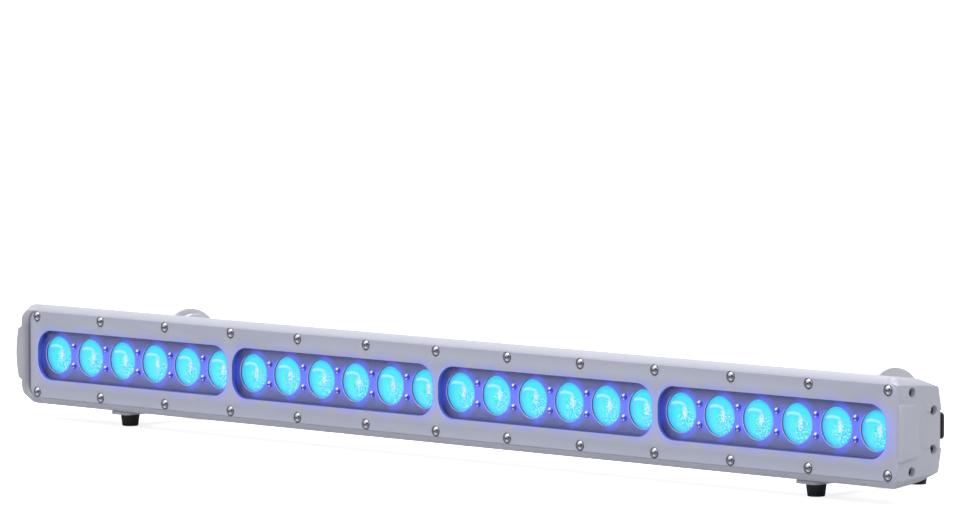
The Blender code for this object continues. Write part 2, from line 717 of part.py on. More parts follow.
def make_cap_seal(bar, name, side):
    start = HOUSING_END_X + GAP
    outline = mirrored(outer_half())
    near, far = side * start, side * (start + CAP_SEAL_THICK)
    seal = piece(f"{name}_cap_seal", prism_x(outline, near, far), SEAL_FOAM, bar)
    change(seal, f"{name}_seal_pocket", frame_pocket(), "DIFFERENCE")
    reach = side * (start + 2 * CAP_SEAL_THICK)
    low_x, high_x = min(0.0, reach), max(0.0, reach)
    rear = CAP_SCREW_REAR_Y - PORT_RIB_HALF
    rib_front = CAP_SCREW_FRONT_Y - PORT_RIB_HALF
    middle = box((low_x, 0.0, -LEDGE_HALF), (high_x, rib_front, LEDGE_HALF))
    low = (low_x, rib_front - PORT_RIB_HALF, -PORT_RIB_INNER)
    back = box(low, (high_x, rear, PORT_RIB_INNER))
    change(seal, f"{name}_seal_stack", middle, "DIFFERENCE")
    change(seal, f"{name}_seal_back", back, "DIFFERENCE")
    holes = []
    for y, z in cap_screw_places():
        shank = CAP_SCREW_SHANK_R + HOLE_CLEARANCE
        run = [(near - side * WALL, shank), (far + side * WALL, shank)]
        holes.append(turned(run, "X", (0.0, y, z), 10))
    change(seal, f"{name}_seal_holes", merge(holes), "DIFFERENCE")


def make_cap_screws(bar, data):
    name, side = data["name"], data["side"]
    seat = data["face_x"] - data["screw_sink"] - CAP_SCREW_HEAD_HEIGHT + GAP
    tip = HOUSING_END_X - CAP_SCREW_ENGAGE
    for number, (y, z) in enumerate(cap_screw_places(), 1):
        run = [
            (tip, CAP_SCREW_SHANK_R),
            (seat, CAP_SCREW_SHANK_R),
            (seat, CAP_SCREW_HEAD_R),
            (seat + CAP_SCREW_HEAD_HEIGHT - GAP, CAP_SCREW_HEAD_R),
        ]
        run = [(side * along, radius) for along, radius in run]
        piece(f"{name}_cap_screw_{number}", turned(run, "X", (0.0, y, z), 10), DARK_STEEL, bar)


def square_ring(x, y, half, corner):
    """A ring of points at a depth y: a rounded square, or a circle where corner equals half."""
    outline = rounded_rectangle((x, 0.0), 2 * half, 2 * half, corner, 4)
    return [(px, y, pz) for px, pz in outline]


def make_socket(bar, name, x):
    """A panel socket behind the bar, with a hinged cap over its mouth."""
    flange_y = REAR_Y + GAP
    body_y = flange_y + SOCKET_FLANGE_THICK
    mouth = body_y + SOCKET_REACH
    rings = [
        square_ring(x, REAR_Y - WALL - SOCKET_TAIL, SOCKET_TAIL_R, SOCKET_TAIL_R),
        square_ring(x, flange_y, SOCKET_TAIL_R, SOCKET_TAIL_R),
        square_ring(x, flange_y, SOCKET_FLANGE_HALF, SOCKET_CORNER),
        square_ring(x, body_y, SOCKET_FLANGE_HALF, SOCKET_CORNER),
        square_ring(x, body_y, SOCKET_HALF, SOCKET_CORNER),
        square_ring(x, mouth, SOCKET_HALF, SOCKET_CORNER),
        square_ring(x, mouth, SOCKET_BORE_R, SOCKET_BORE_R),
        square_ring(x, mouth - SOCKET_BORE_DEPTH, SOCKET_BORE_R, SOCKET_BORE_R),
    ]
    socket = piece(f"{name}_socket", loft(rings), BLACK_PLASTIC, bar)
    pin_y = mouth + GAP + FLAP_THICK / 2
    pin_z = SOCKET_HALF + FLAP_KNUCKLE_R + GAP
    ear_in = FLAP_KNUCKLE_WIDTH / 2 + GAP
    ears = []
    for side in (-1, 1):
        low_x, high_x = sorted((x + side * ear_in, x + side * (ear_in + FLAP_EAR_THICK)))
        profile = [
            (mouth - 3 * FLAP_KNUCKLE_R, SOCKET_HALF - GAP - FLAP_PIN_R),
            (mouth - GAP, SOCKET_HALF - GAP - FLAP_PIN_R),
        ]
        profile += arc((pin_y, pin_z), FLAP_KNUCKLE_R, 0, 90, 4)
        profile.append((mouth - 3 * FLAP_KNUCKLE_R, pin_z))
        ears.append(prism_x(profile, low_x, high_x))
    for number, ear in enumerate(ears, 1):
        change(socket, f"{name}_ear_{number}", ear, "UNION")
    reach = ear_in + FLAP_EAR_THICK / 2
    pin = turned([(-reach, FLAP_PIN_R), (reach, FLAP_PIN_R)], "X", (x, pin_y, pin_z), 10)
    change(socket, f"{name}_pin", pin, "UNION")

    place = (x, pin_y, pin_z)
    lid = [square_ring(x, mouth + GAP + rise, FLAP_HALF, SOCKET_CORNER) for rise in (0, FLAP_THICK)]
    flap = piece(f"{name}_cap", loft(lid), RUBBER, bar, place)
    half = FLAP_KNUCKLE_WIDTH / 2
    knuckle = [(mouth + GAP, FLAP_ROOT_Z), (mouth + GAP + FLAP_THICK, FLAP_ROOT_Z)]
    knuckle += arc((pin_y, pin_z), FLAP_KNUCKLE_R, 0, 180, 8)
    knuckle.append((mouth + GAP, SOCKET_HALF + GAP))
    change(flap, f"{name}_knuckle", prism_x(knuckle, x - half, x + half), "UNION")
    relief_half = ear_in + FLAP_EAR_THICK + GAP
    relief_low = SOCKET_HALF - FLAP_PIN_R - 2 * GAP
    for number, side in enumerate((-1, 1), 1):
        low_x, high_x = sorted((x + side * (half + GAP / 2), x + side * relief_half))
        high = (high_x, mouth + 2 * WALL, FLAP_HALF + WALL)
        relief = box((low_x, mouth - WALL, relief_low), high)
        change(flap, f"{name}_relief_{number}", relief, "DIFFERENCE")
    bore_r = FLAP_PIN_R + HOLE_CLEARANCE
    bore = turned([(-half - WALL, bore_r), (half + WALL, bore_r)], "X", (x, pin_y, pin_z), 10)
    change(flap, f"{name}_bore", bore, "DIFFERENCE")


def button_xs():
    start = PANEL_X + DISPLAY_LENGTH / 2 - PANEL_LENGTH / 2 + DISPLAY_LENGTH
    return [start + i * BUTTON_PITCH for i in range(len(BUTTONS))]


def make_panel(bar):
    panel_y = REAR_Y + GAP
    outline = rounded_rectangle((PANEL_X, 0.0), PANEL_LENGTH, PANEL_HEIGHT, PANEL_CORNER, 3)
    panel = piece(
        "control_panel", prism_y(outline, panel_y, panel_y + PANEL_THICK), BLACK_PLASTIC, bar
    )
    display_x = PANEL_X - PANEL_LENGTH / 2 + DISPLAY_MARGIN + DISPLAY_LENGTH / 2
    size = (DISPLAY_LENGTH, DISPLAY_HEIGHT)
    outline = rounded_rectangle((display_x, 0.0), *size, DISPLAY_CORNER, 1)
    face = panel_y + PANEL_THICK
    recess = prism_y(outline, face - DISPLAY_DEPTH, face + WALL)
    change(panel, "display_recess", recess, "DIFFERENCE")
    holes = []
    for x in button_xs():
        run = [(REAR_Y - WALL, BUTTON_R + GAP), (face + WALL, BUTTON_R + GAP)]
        holes.append(turned(run, "Y", (x, 0.0, 0.0), 12))
    change(panel, "button_holes", merge(holes), "DIFFERENCE")
    for x, name in zip(button_xs(), BUTTONS):
        low = REAR_Y + GAP + BUTTON_TRAVEL
        top = face + BUTTON_PROUD
        run = [(low, BUTTON_R), (top, BUTTON_R), (top + GAP, BUTTON_TOP_R)]
        shape = turned(run, "Y", (x, 0.0, 0.0), 12)
        piece(f"{name}_button", shape, RUBBER, bar, (x, face, 0.0))


def ear_outline():
    """The upright of a bracket, seen along X: a round head on a tapering foot."""
    low = BRACKET_TOP_Z - BRACKET_THICK / 2
    head = arc((HINGE_Y, HINGE_Z), EAR_R, -20, 200, 22)
    return head + [(HINGE_Y - EAR_FOOT_HALF, low), (HINGE_Y + EAR_FOOT_HALF, low)]


def arm_outline():
    """The hinge arm, seen along X: a round head joined straight to the housing's rear."""
    start = math.degrees(math.asin(ARM_HALF / ARM_R))
    head = arc((HINGE_Y, HINGE_Z), ARM_R, -180 + start, 180 - start, 20)
    wall = REAR_Y + GAP + ARM_PAD_THICK / 2
    return head + [(wall, HINGE_Z + ARM_HALF / 2), (wall, -ARM_HALF)]


def make_bracket(bar, name, side):
    axis = empty(f"{name}_tilt_axis", (side * EAR_X, HINGE_Y, HINGE_Z), bar)
    low_z = BRACKET_TOP_Z - BRACKET_THICK
    length = BRACKET_REAR_Y - BRACKET_FRONT_Y
    centre = (side * BRACKET_X, BRACKET_FRONT_Y + length / 2)
    plate = rounded_rectangle(centre, BRACKET_WIDTH, length, BRACKET_CORNER, 4)
    bracket = piece(f"{name}_bracket", prism_z(plate, low_z, BRACKET_TOP_Z), GREY_PAINT, bar)
    near, far = sorted((side * EAR_X, side * (EAR_X + EAR_THICK)))
    change(bracket, f"{name}_ear", prism_x(ear_outline(), near, far), "UNION")
    hole = [(-EAR_THICK, BOLT_R + GAP), (2 * EAR_THICK, BOLT_R + GAP)]
    hole = [(side * along, radius) for along, radius in hole]
    bore = turned(hole, "X", (side * EAR_X, HINGE_Y, HINGE_Z), 16)
    change(bracket, f"{name}_ear_bore", bore, "DIFFERENCE")
    middle_y = (FRONT_FOOT_Y + REAR_FOOT_Y) / 2
    hole = [(low_z - WALL, CLAMP_HOLE_R), (BRACKET_TOP_Z + WALL, CLAMP_HOLE_R)]
    clamp = turned(hole, "Z", (side * BRACKET_X, middle_y, 0.0), 16)
    change(bracket, f"{name}_clamp_hole", clamp, "DIFFERENCE")
    follow_axis(bracket, axis)

    for place, y in (("front", FRONT_FOOT_Y), ("rear", REAR_FOOT_Y)):
        run = [(FLOOR_Z, FOOT_BOTTOM_R), (FOOT_TOP_Z, FOOT_TOP_R)]
        shape = turned(run, "Z", (side * BRACKET_X, y, 0.0), 20)
        follow_axis(piece(f"{name}_{place}_foot", shape, RUBBER, bar), axis)


def follow_axis(obj, axis):
    """Hangs a piece, and the helpers that shape it, on the tilt axis without moving them."""
    group = [obj] + [modifier.object for modifier in obj.modifiers]
    for member in group:
        member.parent = axis
        member.location = -axis.location


def make_hinge(bar, name, side):
    near, far = sorted((side * ARM_X, side * (ARM_X + ARM_THICK)))
    arm = piece(f"{name}_hinge_arm", prism_x(arm_outline(), near, far), GREY_PAINT, bar)
    middle = side * (ARM_X + ARM_THICK / 2)
    pad_height = 2 * REAR_FLAT_HALF - WALL
    pad = rounded_rectangle((middle, 0.0), ARM_PAD_WIDTH, pad_height, ARM_PAD_CORNER, 3)
    pad_y = REAR_Y + GAP
    change(arm, f"{name}_arm_pad", prism_y(pad, pad_y, pad_y + ARM_PAD_THICK), "UNION")
    hole = [(-WALL, BOLT_R + GAP), (ARM_THICK + WALL, BOLT_R + GAP)]
    hole = [(side * along, radius) for along, radius in hole]
    bore = turned(hole, "X", (side * ARM_X, HINGE_Y, HINGE_Z), 16)
    change(arm, f"{name}_arm_bore", bore, "DIFFERENCE")

    start = ARM_X + ARM_THICK + GAP
    ring = [(start, WASHER_R), (start + WASHER_THICK, WASHER_R)]
    ring = [(side * along, radius) for along, radius in ring]
    washer = piece(
        f"{name}_friction_washer", turned(ring, "X", (0.0, HINGE_Y, HINGE_Z), 24), SEAL_FOAM, bar
    )
    hole = [(start - WALL, BOLT_R + GAP), (start + WASHER_THICK + WALL, BOLT_R + GAP)]
    hole = [(side * along, radius) for along, radius in hole]
    bore = turned(hole, "X", (0.0, HINGE_Y, HINGE_Z), 16)
    change(washer, f"{name}_washer_bore", bore, "DIFFERENCE")

    head = EAR_X + EAR_THICK + GAP
    place = (side * head, HINGE_Y, HINGE_Z)
    grip = []
    for i in range(4 * KNOB_LOBES):
        angle = 2 * math.pi * i / (4 * KNOB_LOBES)
        radius = KNOB_R - KNOB_GRIP_DEPTH * (1 - math.cos(KNOB_LOBES * angle)) / 2
        grip.append((HINGE_Y + radius * math.cos(angle), HINGE_Z + radius * math.sin(angle)))
    near, far = sorted((side * head, side * (head + KNOB_HEIGHT)))
    knob = piece(f"{name}_tilt_knob", prism_x(grip, near, far), BLACK_PLASTIC, bar, place)
    shank = [(ARM_X - WALL, BOLT_R), (head + KNOB_HEIGHT / 2, BOLT_R)]
    shank = [(side * along, radius) for along, radius in shank]
    bolt = turned(shank, "X", (0.0, HINGE_Y, HINGE_Z), 12)
    change(knob, f"{name}_knob_bolt", bolt, "UNION")


def main():
    clear_scene()
    bar = empty("bar", (-ORIGIN_X, -ORIGIN_Y, -FLOOR_Z))
    make_housing(bar)
    make_front_frame(bar)
    make_frame_seal(bar)
    make_light_stack(bar)
    make_electronics(bar)
    for cap in (LEFT_CAP, RIGHT_CAP):
        name, side = cap["name"], cap["side"]
        make_end_cap(bar, cap)
        make_cap_seal(bar, name, side)
        make_cap_screws(bar, cap)
        make_bracket(bar, name, side)
        make_hinge(bar, name, side)
    for name, x in zip(SOCKET_NAMES, SOCKET_XS):
        make_socket(bar, name, x)
    make_panel(bar)


main()
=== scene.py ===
# %% [markdown]
# A slim stage light bar: a pale grey housing about a metre long, four windows of six glowing
# lenses, and two floor brackets that tilt. The lesson dresses a frame of plain solids that
# already has the right sizes. Every measure is read from that frame where it can be, so that
# the looks and the construction can't drift apart.

# %% Load the frame
import math

import bmesh
import bpy
from mathutils import Matrix, Vector


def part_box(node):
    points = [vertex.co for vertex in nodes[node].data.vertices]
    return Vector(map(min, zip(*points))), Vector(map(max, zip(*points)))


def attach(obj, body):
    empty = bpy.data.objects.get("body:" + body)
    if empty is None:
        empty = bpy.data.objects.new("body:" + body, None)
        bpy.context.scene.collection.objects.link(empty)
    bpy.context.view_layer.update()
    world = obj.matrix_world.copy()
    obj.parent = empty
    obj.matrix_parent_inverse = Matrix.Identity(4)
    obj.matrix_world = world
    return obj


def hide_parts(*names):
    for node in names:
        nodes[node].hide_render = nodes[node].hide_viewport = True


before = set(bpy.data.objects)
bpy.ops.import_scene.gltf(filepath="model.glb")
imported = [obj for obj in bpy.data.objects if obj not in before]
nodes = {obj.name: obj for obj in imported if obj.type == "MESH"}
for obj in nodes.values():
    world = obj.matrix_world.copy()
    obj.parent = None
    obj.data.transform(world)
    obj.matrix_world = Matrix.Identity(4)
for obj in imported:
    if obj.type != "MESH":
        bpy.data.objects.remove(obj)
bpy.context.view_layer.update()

# %% [markdown]
# The bar has a frame of its own that is handy to measure in: X along the bar from the middle
# of its front plate, Y back from the plate's face, Z from mid-height. One function turns those
# places into the scene's, so each piece can be described as it would be on a drawing.

# %% Places on the bar
plate_low, plate_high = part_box("front_frame")
BAR_X = (plate_low.x + plate_high.x) / 2
FACE_Y = plate_low.y
MID_Z = (plate_low.z + plate_high.z) / 2


def on_bar(x, y, z):
    return Vector((BAR_X + x, FACE_Y + y, MID_Z + z))


def depth_of(node):
    """How far behind the plate's face a node starts and ends."""
    low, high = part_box(node)
    return low.y - FACE_Y, high.y - FACE_Y


def middle_x(node):
    low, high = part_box(node)
    return (low.x + high.x) / 2 - BAR_X


WINDOW_XS = [middle_x(f"mask_plate_{number}") for number in range(1, 5)]
WINDOW_PITCH = (WINDOW_XS[3] - WINDOW_XS[0]) / 3
LENS_PITCH = WINDOW_PITCH / 6
LENS_OFFSETS = [(i - 2.5) * LENS_PITCH for i in range(6)]
print("bar face at y", round(FACE_Y, 5), "mid-height", round(MID_Z, 5))

# %% [markdown]
# The camera comes first, because it decides what has to be right. A long lens far away keeps
# the bar's edges nearly parallel, as in a product photograph. The camera stands to the right
# and a little above, and aims at a point above the bar, which leaves the bar low in the frame.

# %% Camera
AZIMUTH = math.radians(44.191)
ELEVATION = math.radians(4.333)
DISTANCE = 5.245
LENS_MM = 245.65
AIM = on_bar(0.0501, 0.0, 0.1068)

away = Vector((
    math.sin(AZIMUTH) * math.cos(ELEVATION),
    -math.cos(AZIMUTH) * math.cos(ELEVATION),
    math.sin(ELEVATION),
))
camera = bpy.data.objects.new("camera", bpy.data.cameras.new("camera"))
bpy.context.scene.collection.objects.link(camera)
camera.data.lens = LENS_MM
camera.data.sensor_width = 36.0
camera.data.clip_end = 60.0
camera.location = AIM + away * DISTANCE
camera.rotation_euler = (-away).to_track_quat("-Z", "Y").to_euler()
bpy.context.scene.camera = camera
bpy.context.scene.view_settings.view_transform = "Standard"
print("camera at", [round(v, 3) for v in camera.location])

# %% [markdown]
# A plain studio: a white floor that keeps the soft shadow, a white world, and two large lamps.
# The world looks pure white to the camera, but it lights the bar like a tent that is brighter
# overhead than at the sides. That shades the rounded top, and gives the polished screws a
# bright crown over a darker middle.

# %% World light
LIGHT_AT_HORIZON = 0.30
LIGHT_OVERHEAD = 2.2
DIM_BELOW, BRIGHT_ABOVE = 0.40, 0.95

world = bpy.data.worlds.new("studio")
bpy.context.scene.world = world
world.use_nodes = True
tree = world.node_tree
background = tree.nodes["Background"]
path = tree.nodes.new("ShaderNodeLightPath")
seen = tree.nodes.new("ShaderNodeMath")
seen.operation = "MAXIMUM"
tree.links.new(path.outputs["Is Camera Ray"], seen.inputs[0])
tree.links.new(path.outputs["Is Transmission Ray"], seen.inputs[1])
where = tree.nodes.new("ShaderNodeTexCoord")
split = tree.nodes.new("ShaderNodeSeparateXYZ")
tree.links.new(where.outputs["Generated"], split.inputs["Vector"])
tent = tree.nodes.new("ShaderNodeMapRange")
tent.interpolation_type = "SMOOTHSTEP"
tent.inputs["From Min"].default_value = DIM_BELOW
tent.inputs["From Max"].default_value = BRIGHT_ABOVE
tent.inputs["To Min"].default_value = LIGHT_AT_HORIZON
tent.inputs["To Max"].default_value = LIGHT_OVERHEAD
tree.links.new(split.outputs["Z"], tent.inputs["Value"])
level = tree.nodes.new("ShaderNodeMapRange")
level.inputs["To Max"].default_value = 1.0
tree.links.new(seen.outputs[0], level.inputs["Value"])
tree.links.new(tent.outputs["Result"], level.inputs["To Min"])
tree.links.new(level.outputs["Result"], background.inputs["Strength"])
background.inputs["Color"].default_value = (1.0, 1.0, 1.0, 1.0)
print("world:", world.name)

# %% Lamps
def lamp(name, place, aim, size, power):
    light = bpy.data.lights.new(name, "AREA")
    light.shape = "DISK"
    light.size = size
    light.energy = power
    made = bpy.data.objects.new(name, light)
    bpy.context.scene.collection.objects.link(made)
    made.location = place
    made.rotation_euler = (aim - place).to_track_quat("-Z", "Y").to_euler()
    return made


lamp("top_softbox", Vector((-0.4, -0.3, 2.2)), on_bar(0, 0, 0), 1.6, 40.0)
lamp("side_softbox", Vector((2.6, -1.4, 1.5)), on_bar(0, 0, 0), 1.2, 16.0)
print("lamps:", len(bpy.data.lights))

# %% Floor
FLOOR_LIFT = 0.80

bpy.ops.mesh.primitive_plane_add(size=30.0, location=(0.0, 0.0, 0.0))
floor = bpy.context.object
floor.name = "studio_floor"
floor_paint = bpy.data.materials.new("studio_floor")
floor_paint.use_nodes = True
floor.data.materials.append(floor_paint)
tree = floor_paint.node_tree
surface = tree.nodes["Principled BSDF"]
surface.inputs["Base Color"].default_value = (0.55, 0.55, 0.56, 1.0)
surface.inputs["Roughness"].default_value = 0.9
surface.inputs["Specular IOR Level"].default_value = 0.1
path = tree.nodes.new("ShaderNodeLightPath")
surface.inputs["Emission Color"].default_value = (1.0, 1.0, 1.0, 1.0)
lift = tree.nodes.new("ShaderNodeMath")
lift.operation = "MULTIPLY"
lift.inputs[1].default_value = FLOOR_LIFT
tree.links.new(path.outputs["Is Camera Ray"], lift.inputs[0])
tree.links.new(lift.outputs[0], surface.inputs["Emission Strength"])
print("floor:", floor.name)

# %% [markdown]
# The modelling calls act on whatever is selected, so each step starts by selecting one thing
# only. These few helpers do what a hand does in the window: pick an object, pick faces by where
# they are, apply a modifier, and clean the mesh at the end.

# %% Selecting
# A face or edge counts as facing a way when this much of its direction lies along it.
FACING = 0.9


def only(obj):
    if bpy.context.object and bpy.context.object.mode != "OBJECT":
        bpy.ops.object.mode_set(mode="OBJECT")
    bpy.ops.object.select_all(action="DESELECT")
    obj.select_set(True)
    bpy.context.view_layer.objects.active = obj


def pick(obj, kind, test):
    """In edit mode, selects only the faces, edges or vertices that pass the test."""
    only(obj)
    bpy.ops.object.mode_set(mode="EDIT")
    bpy.ops.mesh.select_mode(type=kind)
    bpy.ops.mesh.select_all(action="DESELECT")
    shape = bmesh.from_edit_mesh(obj.data)
    items = {"VERT": shape.verts, "EDGE": shape.edges, "FACE": shape.faces}[kind]
    for item in items:
        item.select = test(item)
    shape.select_flush_mode()
    bmesh.update_edit_mesh(obj.data)


print("selecting helpers ready")

# %% Modifiers
SHARP = math.radians(30)


def modify(obj, kind, **settings):
    only(obj)
    modifier = obj.modifiers.new(kind.lower(), kind)
    for name, value in settings.items():
        setattr(modifier, name, value)
    bpy.ops.object.modifier_apply(modifier=modifier.name)


def soften(obj, width, segments=2):
    """Rounds the sharp edges a little, as paint and tooling do, and shades the rest smooth."""
    modify(
        obj, "BEVEL", width=width, segments=segments, limit_method="ANGLE",
        angle_limit=SHARP, use_clamp_overlap=True,
    )
    only(obj)
    bpy.ops.object.shade_smooth_by_angle(angle=SHARP)


def carve(target, cutter):
    """Cuts the cutter from the target and removes it."""
    modify(target, "BOOLEAN", object=cutter, operation="DIFFERENCE", solver="EXACT")
    bpy.data.objects.remove(cutter, do_unlink=True)


print("modifier helpers ready")

# %% Simple shapes
def settle(obj):
    """Leaves edit mode and puts the object's origin back at the scene's."""
    only(obj)
    bpy.ops.object.transform_apply(location=True, rotation=True, scale=True)


def slab(name, low, high):
    """A box between two corners."""
    bpy.ops.mesh.primitive_cube_add(size=1.0, location=(low + high) / 2)
    made = bpy.context.object
    made.name = name
    made.scale = high - low
    settle(made)
    return made


def rounded_slab(name, low, high, radius, segments):
    """A box whose four edges from front to back are rounded off."""
    made = slab(name, low, high)
    pick(made, "EDGE", lambda e: abs((e.verts[1].co - e.verts[0].co).normalized().y) > FACING)
    bpy.ops.mesh.bevel(offset=radius, segments=segments, affect="EDGES")
    only(made)
    return made


def disc(name, centre, radius, length, sides):
    """A round bar about its centre, which runs from front to back."""
    bpy.ops.mesh.primitive_cylinder_add(
        vertices=sides, radius=radius, depth=length, location=centre, rotation=(math.pi / 2, 0, 0)
    )
    made = bpy.context.object
    made.name = name
    settle(made)
    return made


print("shape helpers ready")

# %% Joining, copying and dressing
def joined(name, parts):
    only(parts[0])
    for part in parts:
        part.select_set(True)
    bpy.ops.object.join()
    parts[0].name = name
    return parts[0]


def copied(source, shift):
    """A copy of a piece with its own mesh, moved inside the mesh."""
    made = source.copy()
    made.data = source.data.copy()
    made.data.transform(Matrix.Translation(shift))
    bpy.context.scene.collection.objects.link(made)
    return made


def dress(piece, body, finish, node=None):
    """Gives a finished piece its body and finish, and lets it stand for a node."""
    piece.data.materials.clear()
    piece.data.materials.append(finish)
    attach(piece, body)
    if node:
        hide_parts(node)
    return piece


print("dressing helpers ready")

# %% [markdown]
# Three effects are shared by many finishes, so each is built once as a node group: the fine
# orange-peel grain of paint or moulded plastic, the slow change of colour that keeps a large
# surface from looking like one flat fill, and the spill of lamp light around each window.

# %% Node helpers
def new_group(name, inputs, outputs):
    group = bpy.data.node_groups.new(name, "ShaderNodeTree")
    for label, value in inputs.items():
        socket = group.interface.new_socket(label, in_out="INPUT", socket_type="NodeSocketFloat")
        socket.default_value = value
    for label in outputs:
        group.interface.new_socket(label, in_out="OUTPUT", socket_type="NodeSocketFloat")
    return group, group.nodes.new("NodeGroupInput"), group.nodes.new("NodeGroupOutput")


def math_node(tree, operation, *values):
    """A Math node. A value may be a number or another node's output."""
    made = tree.nodes.new("ShaderNodeMath")
    made.operation = operation
    for socket, value in zip(made.inputs, values):
        if isinstance(value, (int, float)):
            socket.default_value = value
        else:
            tree.links.new(value, socket)
    return made.outputs[0]


def product(tree, first, *rest):
    for value in rest:
        first = math_node(tree, "MULTIPLY", first, value)
    return first


def length_of(tree, first, second):
    """The length of a line that runs so far one way and so far the other."""
    squares = [product(tree, side, side) for side in (first, second)]
    return math_node(tree, "SQRT", math_node(tree, "ADD", *squares))


def fading(tree, value, full, none):
    """1 where the value is at full, falling smoothly to 0 where it reaches none."""
    made = tree.nodes.new("ShaderNodeMapRange")
    made.interpolation_type = "SMOOTHSTEP"
    made.inputs["From Min"].default_value = none
    made.inputs["From Max"].default_value = full
    tree.links.new(value, made.inputs["Value"])
    return made.outputs["Result"]


def place_on_bar(tree):
    """How far along the bar and how far above mid-height a point is."""
    where = tree.nodes.new("ShaderNodeTexCoord")
    split = tree.nodes.new("ShaderNodeSeparateXYZ")
    tree.links.new(where.outputs["Object"], split.inputs["Vector"])
    along = math_node(tree, "SUBTRACT", split.outputs["X"], BAR_X)
    return along, math_node(tree, "SUBTRACT", split.outputs["Z"], MID_Z)


def blend_colour(tree, share, first, second):
    """From the first colour to the second, as the share goes from 0 to 1."""
    made = tree.nodes.new("ShaderNodeMix")
    made.data_type = "RGBA"
    factor, colour_a, colour_b = made.inputs["Factor"], made.inputs[6], made.inputs[7]
    for socket, value in ((factor, share), (colour_a, first), (colour_b, second)):
        if isinstance(value, (int, float, tuple)):
            socket.default_value = value
        else:
            tree.links.new(value, socket)
    return made.outputs[2]


def noise(tree, scale, detail):
    where = tree.nodes.new("ShaderNodeTexCoord")
    made = tree.nodes.new("ShaderNodeTexNoise")
    made.inputs["Detail"].default_value = detail
    tree.links.new(where.outputs["Object"], made.inputs["Vector"])
    if isinstance(scale, (int, float)):
        made.inputs["Scale"].default_value = scale
    else:
        tree.links.new(scale, made.inputs["Scale"])
    return made.outputs["Fac"]


print("node helpers ready")

# %% Surface grain
group, given, result = new_group(
    "Surface grain",
    {"Grain Scale": 2600.0, "Patch Scale": 9.0, "Low": 0.4, "High": 0.5},
    ("Height", "Roughness", "Patches"),
)
grain = noise(group, given.outputs["Grain Scale"], 2.0)
patches = noise(group, given.outputs["Patch Scale"], 4.0)
spread = group.nodes.new("ShaderNodeMapRange")
group.links.new(patches, spread.inputs["Value"])
group.links.new(given.outputs["Low"], spread.inputs["To Min"])
group.links.new(given.outputs["High"], spread.inputs["To Max"])
group.links.new(grain, result.inputs["Height"])
group.links.new(patches, result.inputs["Patches"])
group.links.new(spread.outputs["Result"], result.inputs["Roughness"])
surface_grain = group
print("group:", group.name)

# %% [markdown]
# The lamps behind the windows throw a violet haze on the plate around each opening. It falls
# off with the distance from the opening's edge. The distance to a round-cornered slot is worked
# out from the Object coordinates, measured from the nearest window's middle, so that one formula
# serves all four windows.

# %% Lamp spill
WINDOW_SIZE = (0.2348, 0.0422)
WINDOW_CORNER = 0.0165
HALF_WINDOW_X, HALF_WINDOW_Z = WINDOW_SIZE[0] / 2, WINDOW_SIZE[1] / 2
HAZE_REACH = 0.0060

spill_inputs = {
    "Half Width": HALF_WINDOW_X,
    "Half Height": HALF_WINDOW_Z,
    "Corner": WINDOW_CORNER,
    "Reach": HAZE_REACH,
}
group, given, result = new_group("Window spill", spill_inputs, ("Spill", "Gap", "Across"))
along, up = place_on_bar(group)
along = math_node(group, "SUBTRACT", along, WINDOW_XS[0])
nearest = math_node(group, "ROUND", math_node(group, "DIVIDE", along, WINDOW_PITCH))
nearest = math_node(group, "MAXIMUM", math_node(group, "MINIMUM", nearest, len(WINDOW_XS) - 1.0), 0.0)
folded = math_node(group, "SUBTRACT", along, product(group, nearest, WINDOW_PITCH))
sides = []
for place, half in ((folded, "Half Width"), (up, "Half Height")):
    inner = math_node(group, "SUBTRACT", given.outputs[half], given.outputs["Corner"])
    over = math_node(group, "SUBTRACT", math_node(group, "ABSOLUTE", place), inner)
    sides.append(math_node(group, "MAXIMUM", over, 0.0))
beyond = math_node(group, "SUBTRACT", length_of(group, *sides), given.outputs["Corner"])
gap = math_node(group, "MAXIMUM", beyond, 0.0)
share = math_node(group, "DIVIDE", gap, given.outputs["Reach"])
fall = math_node(group, "EXPONENT", product(group, share, -1.0))
group.links.new(fall, result.inputs["Spill"])
group.links.new(gap, result.inputs["Gap"])
group.links.new(folded, result.inputs["Across"])
window_spill = group
print("group:", group.name)

# %% [markdown]
# Each lens lights the mask plate around its own hole. The same trick folds the plate's length
# into one lens pitch, and gives the distance from the nearest lens centre and the direction
# from it, which the lens uses as well for its bright patches.

# %% Distance from a lens
group, given, result = new_group("Lens place", {"Pitch": LENS_PITCH}, ("Across", "Up", "Distance"))
along, up = place_on_bar(group)
folded = math_node(group, "WRAP", along, given.outputs["Pitch"], 0.0)
across = math_node(group, "SUBTRACT", folded, product(group, given.outputs["Pitch"], 0.5))
group.links.new(across, result.inputs["Across"])
group.links.new(up, result.inputs["Up"])
group.links.new(length_of(group, across, up), result.inputs["Distance"])
lens_place = group
print("group:", group.name)

# %% [markdown]
# Every finish starts the same way: the Principled shader, its steady values written on its own
# sockets, and the grain group behind its roughness, bump and colour. Only what changes over the
# surface comes through nodes.

# %% Helpers for finishes
GRAIN_DEPTH = 0.0002


def linear(red, green, blue):
    """A colour as a picture shows it, 0 to 255, as the shader wants it."""
    def channel(value):
        share = value / 255
        return share / 12.92 if share <= 0.04045 else ((share + 0.055) / 1.055) ** 2.4
    return (channel(red), channel(green), channel(blue), 1.0)


def place_group(tree, group, **values):
    made = tree.nodes.new("ShaderNodeGroup")
    made.node_tree = group
    for label, value in values.items():
        made.inputs[label.replace("_", " ")].default_value = value
    return made


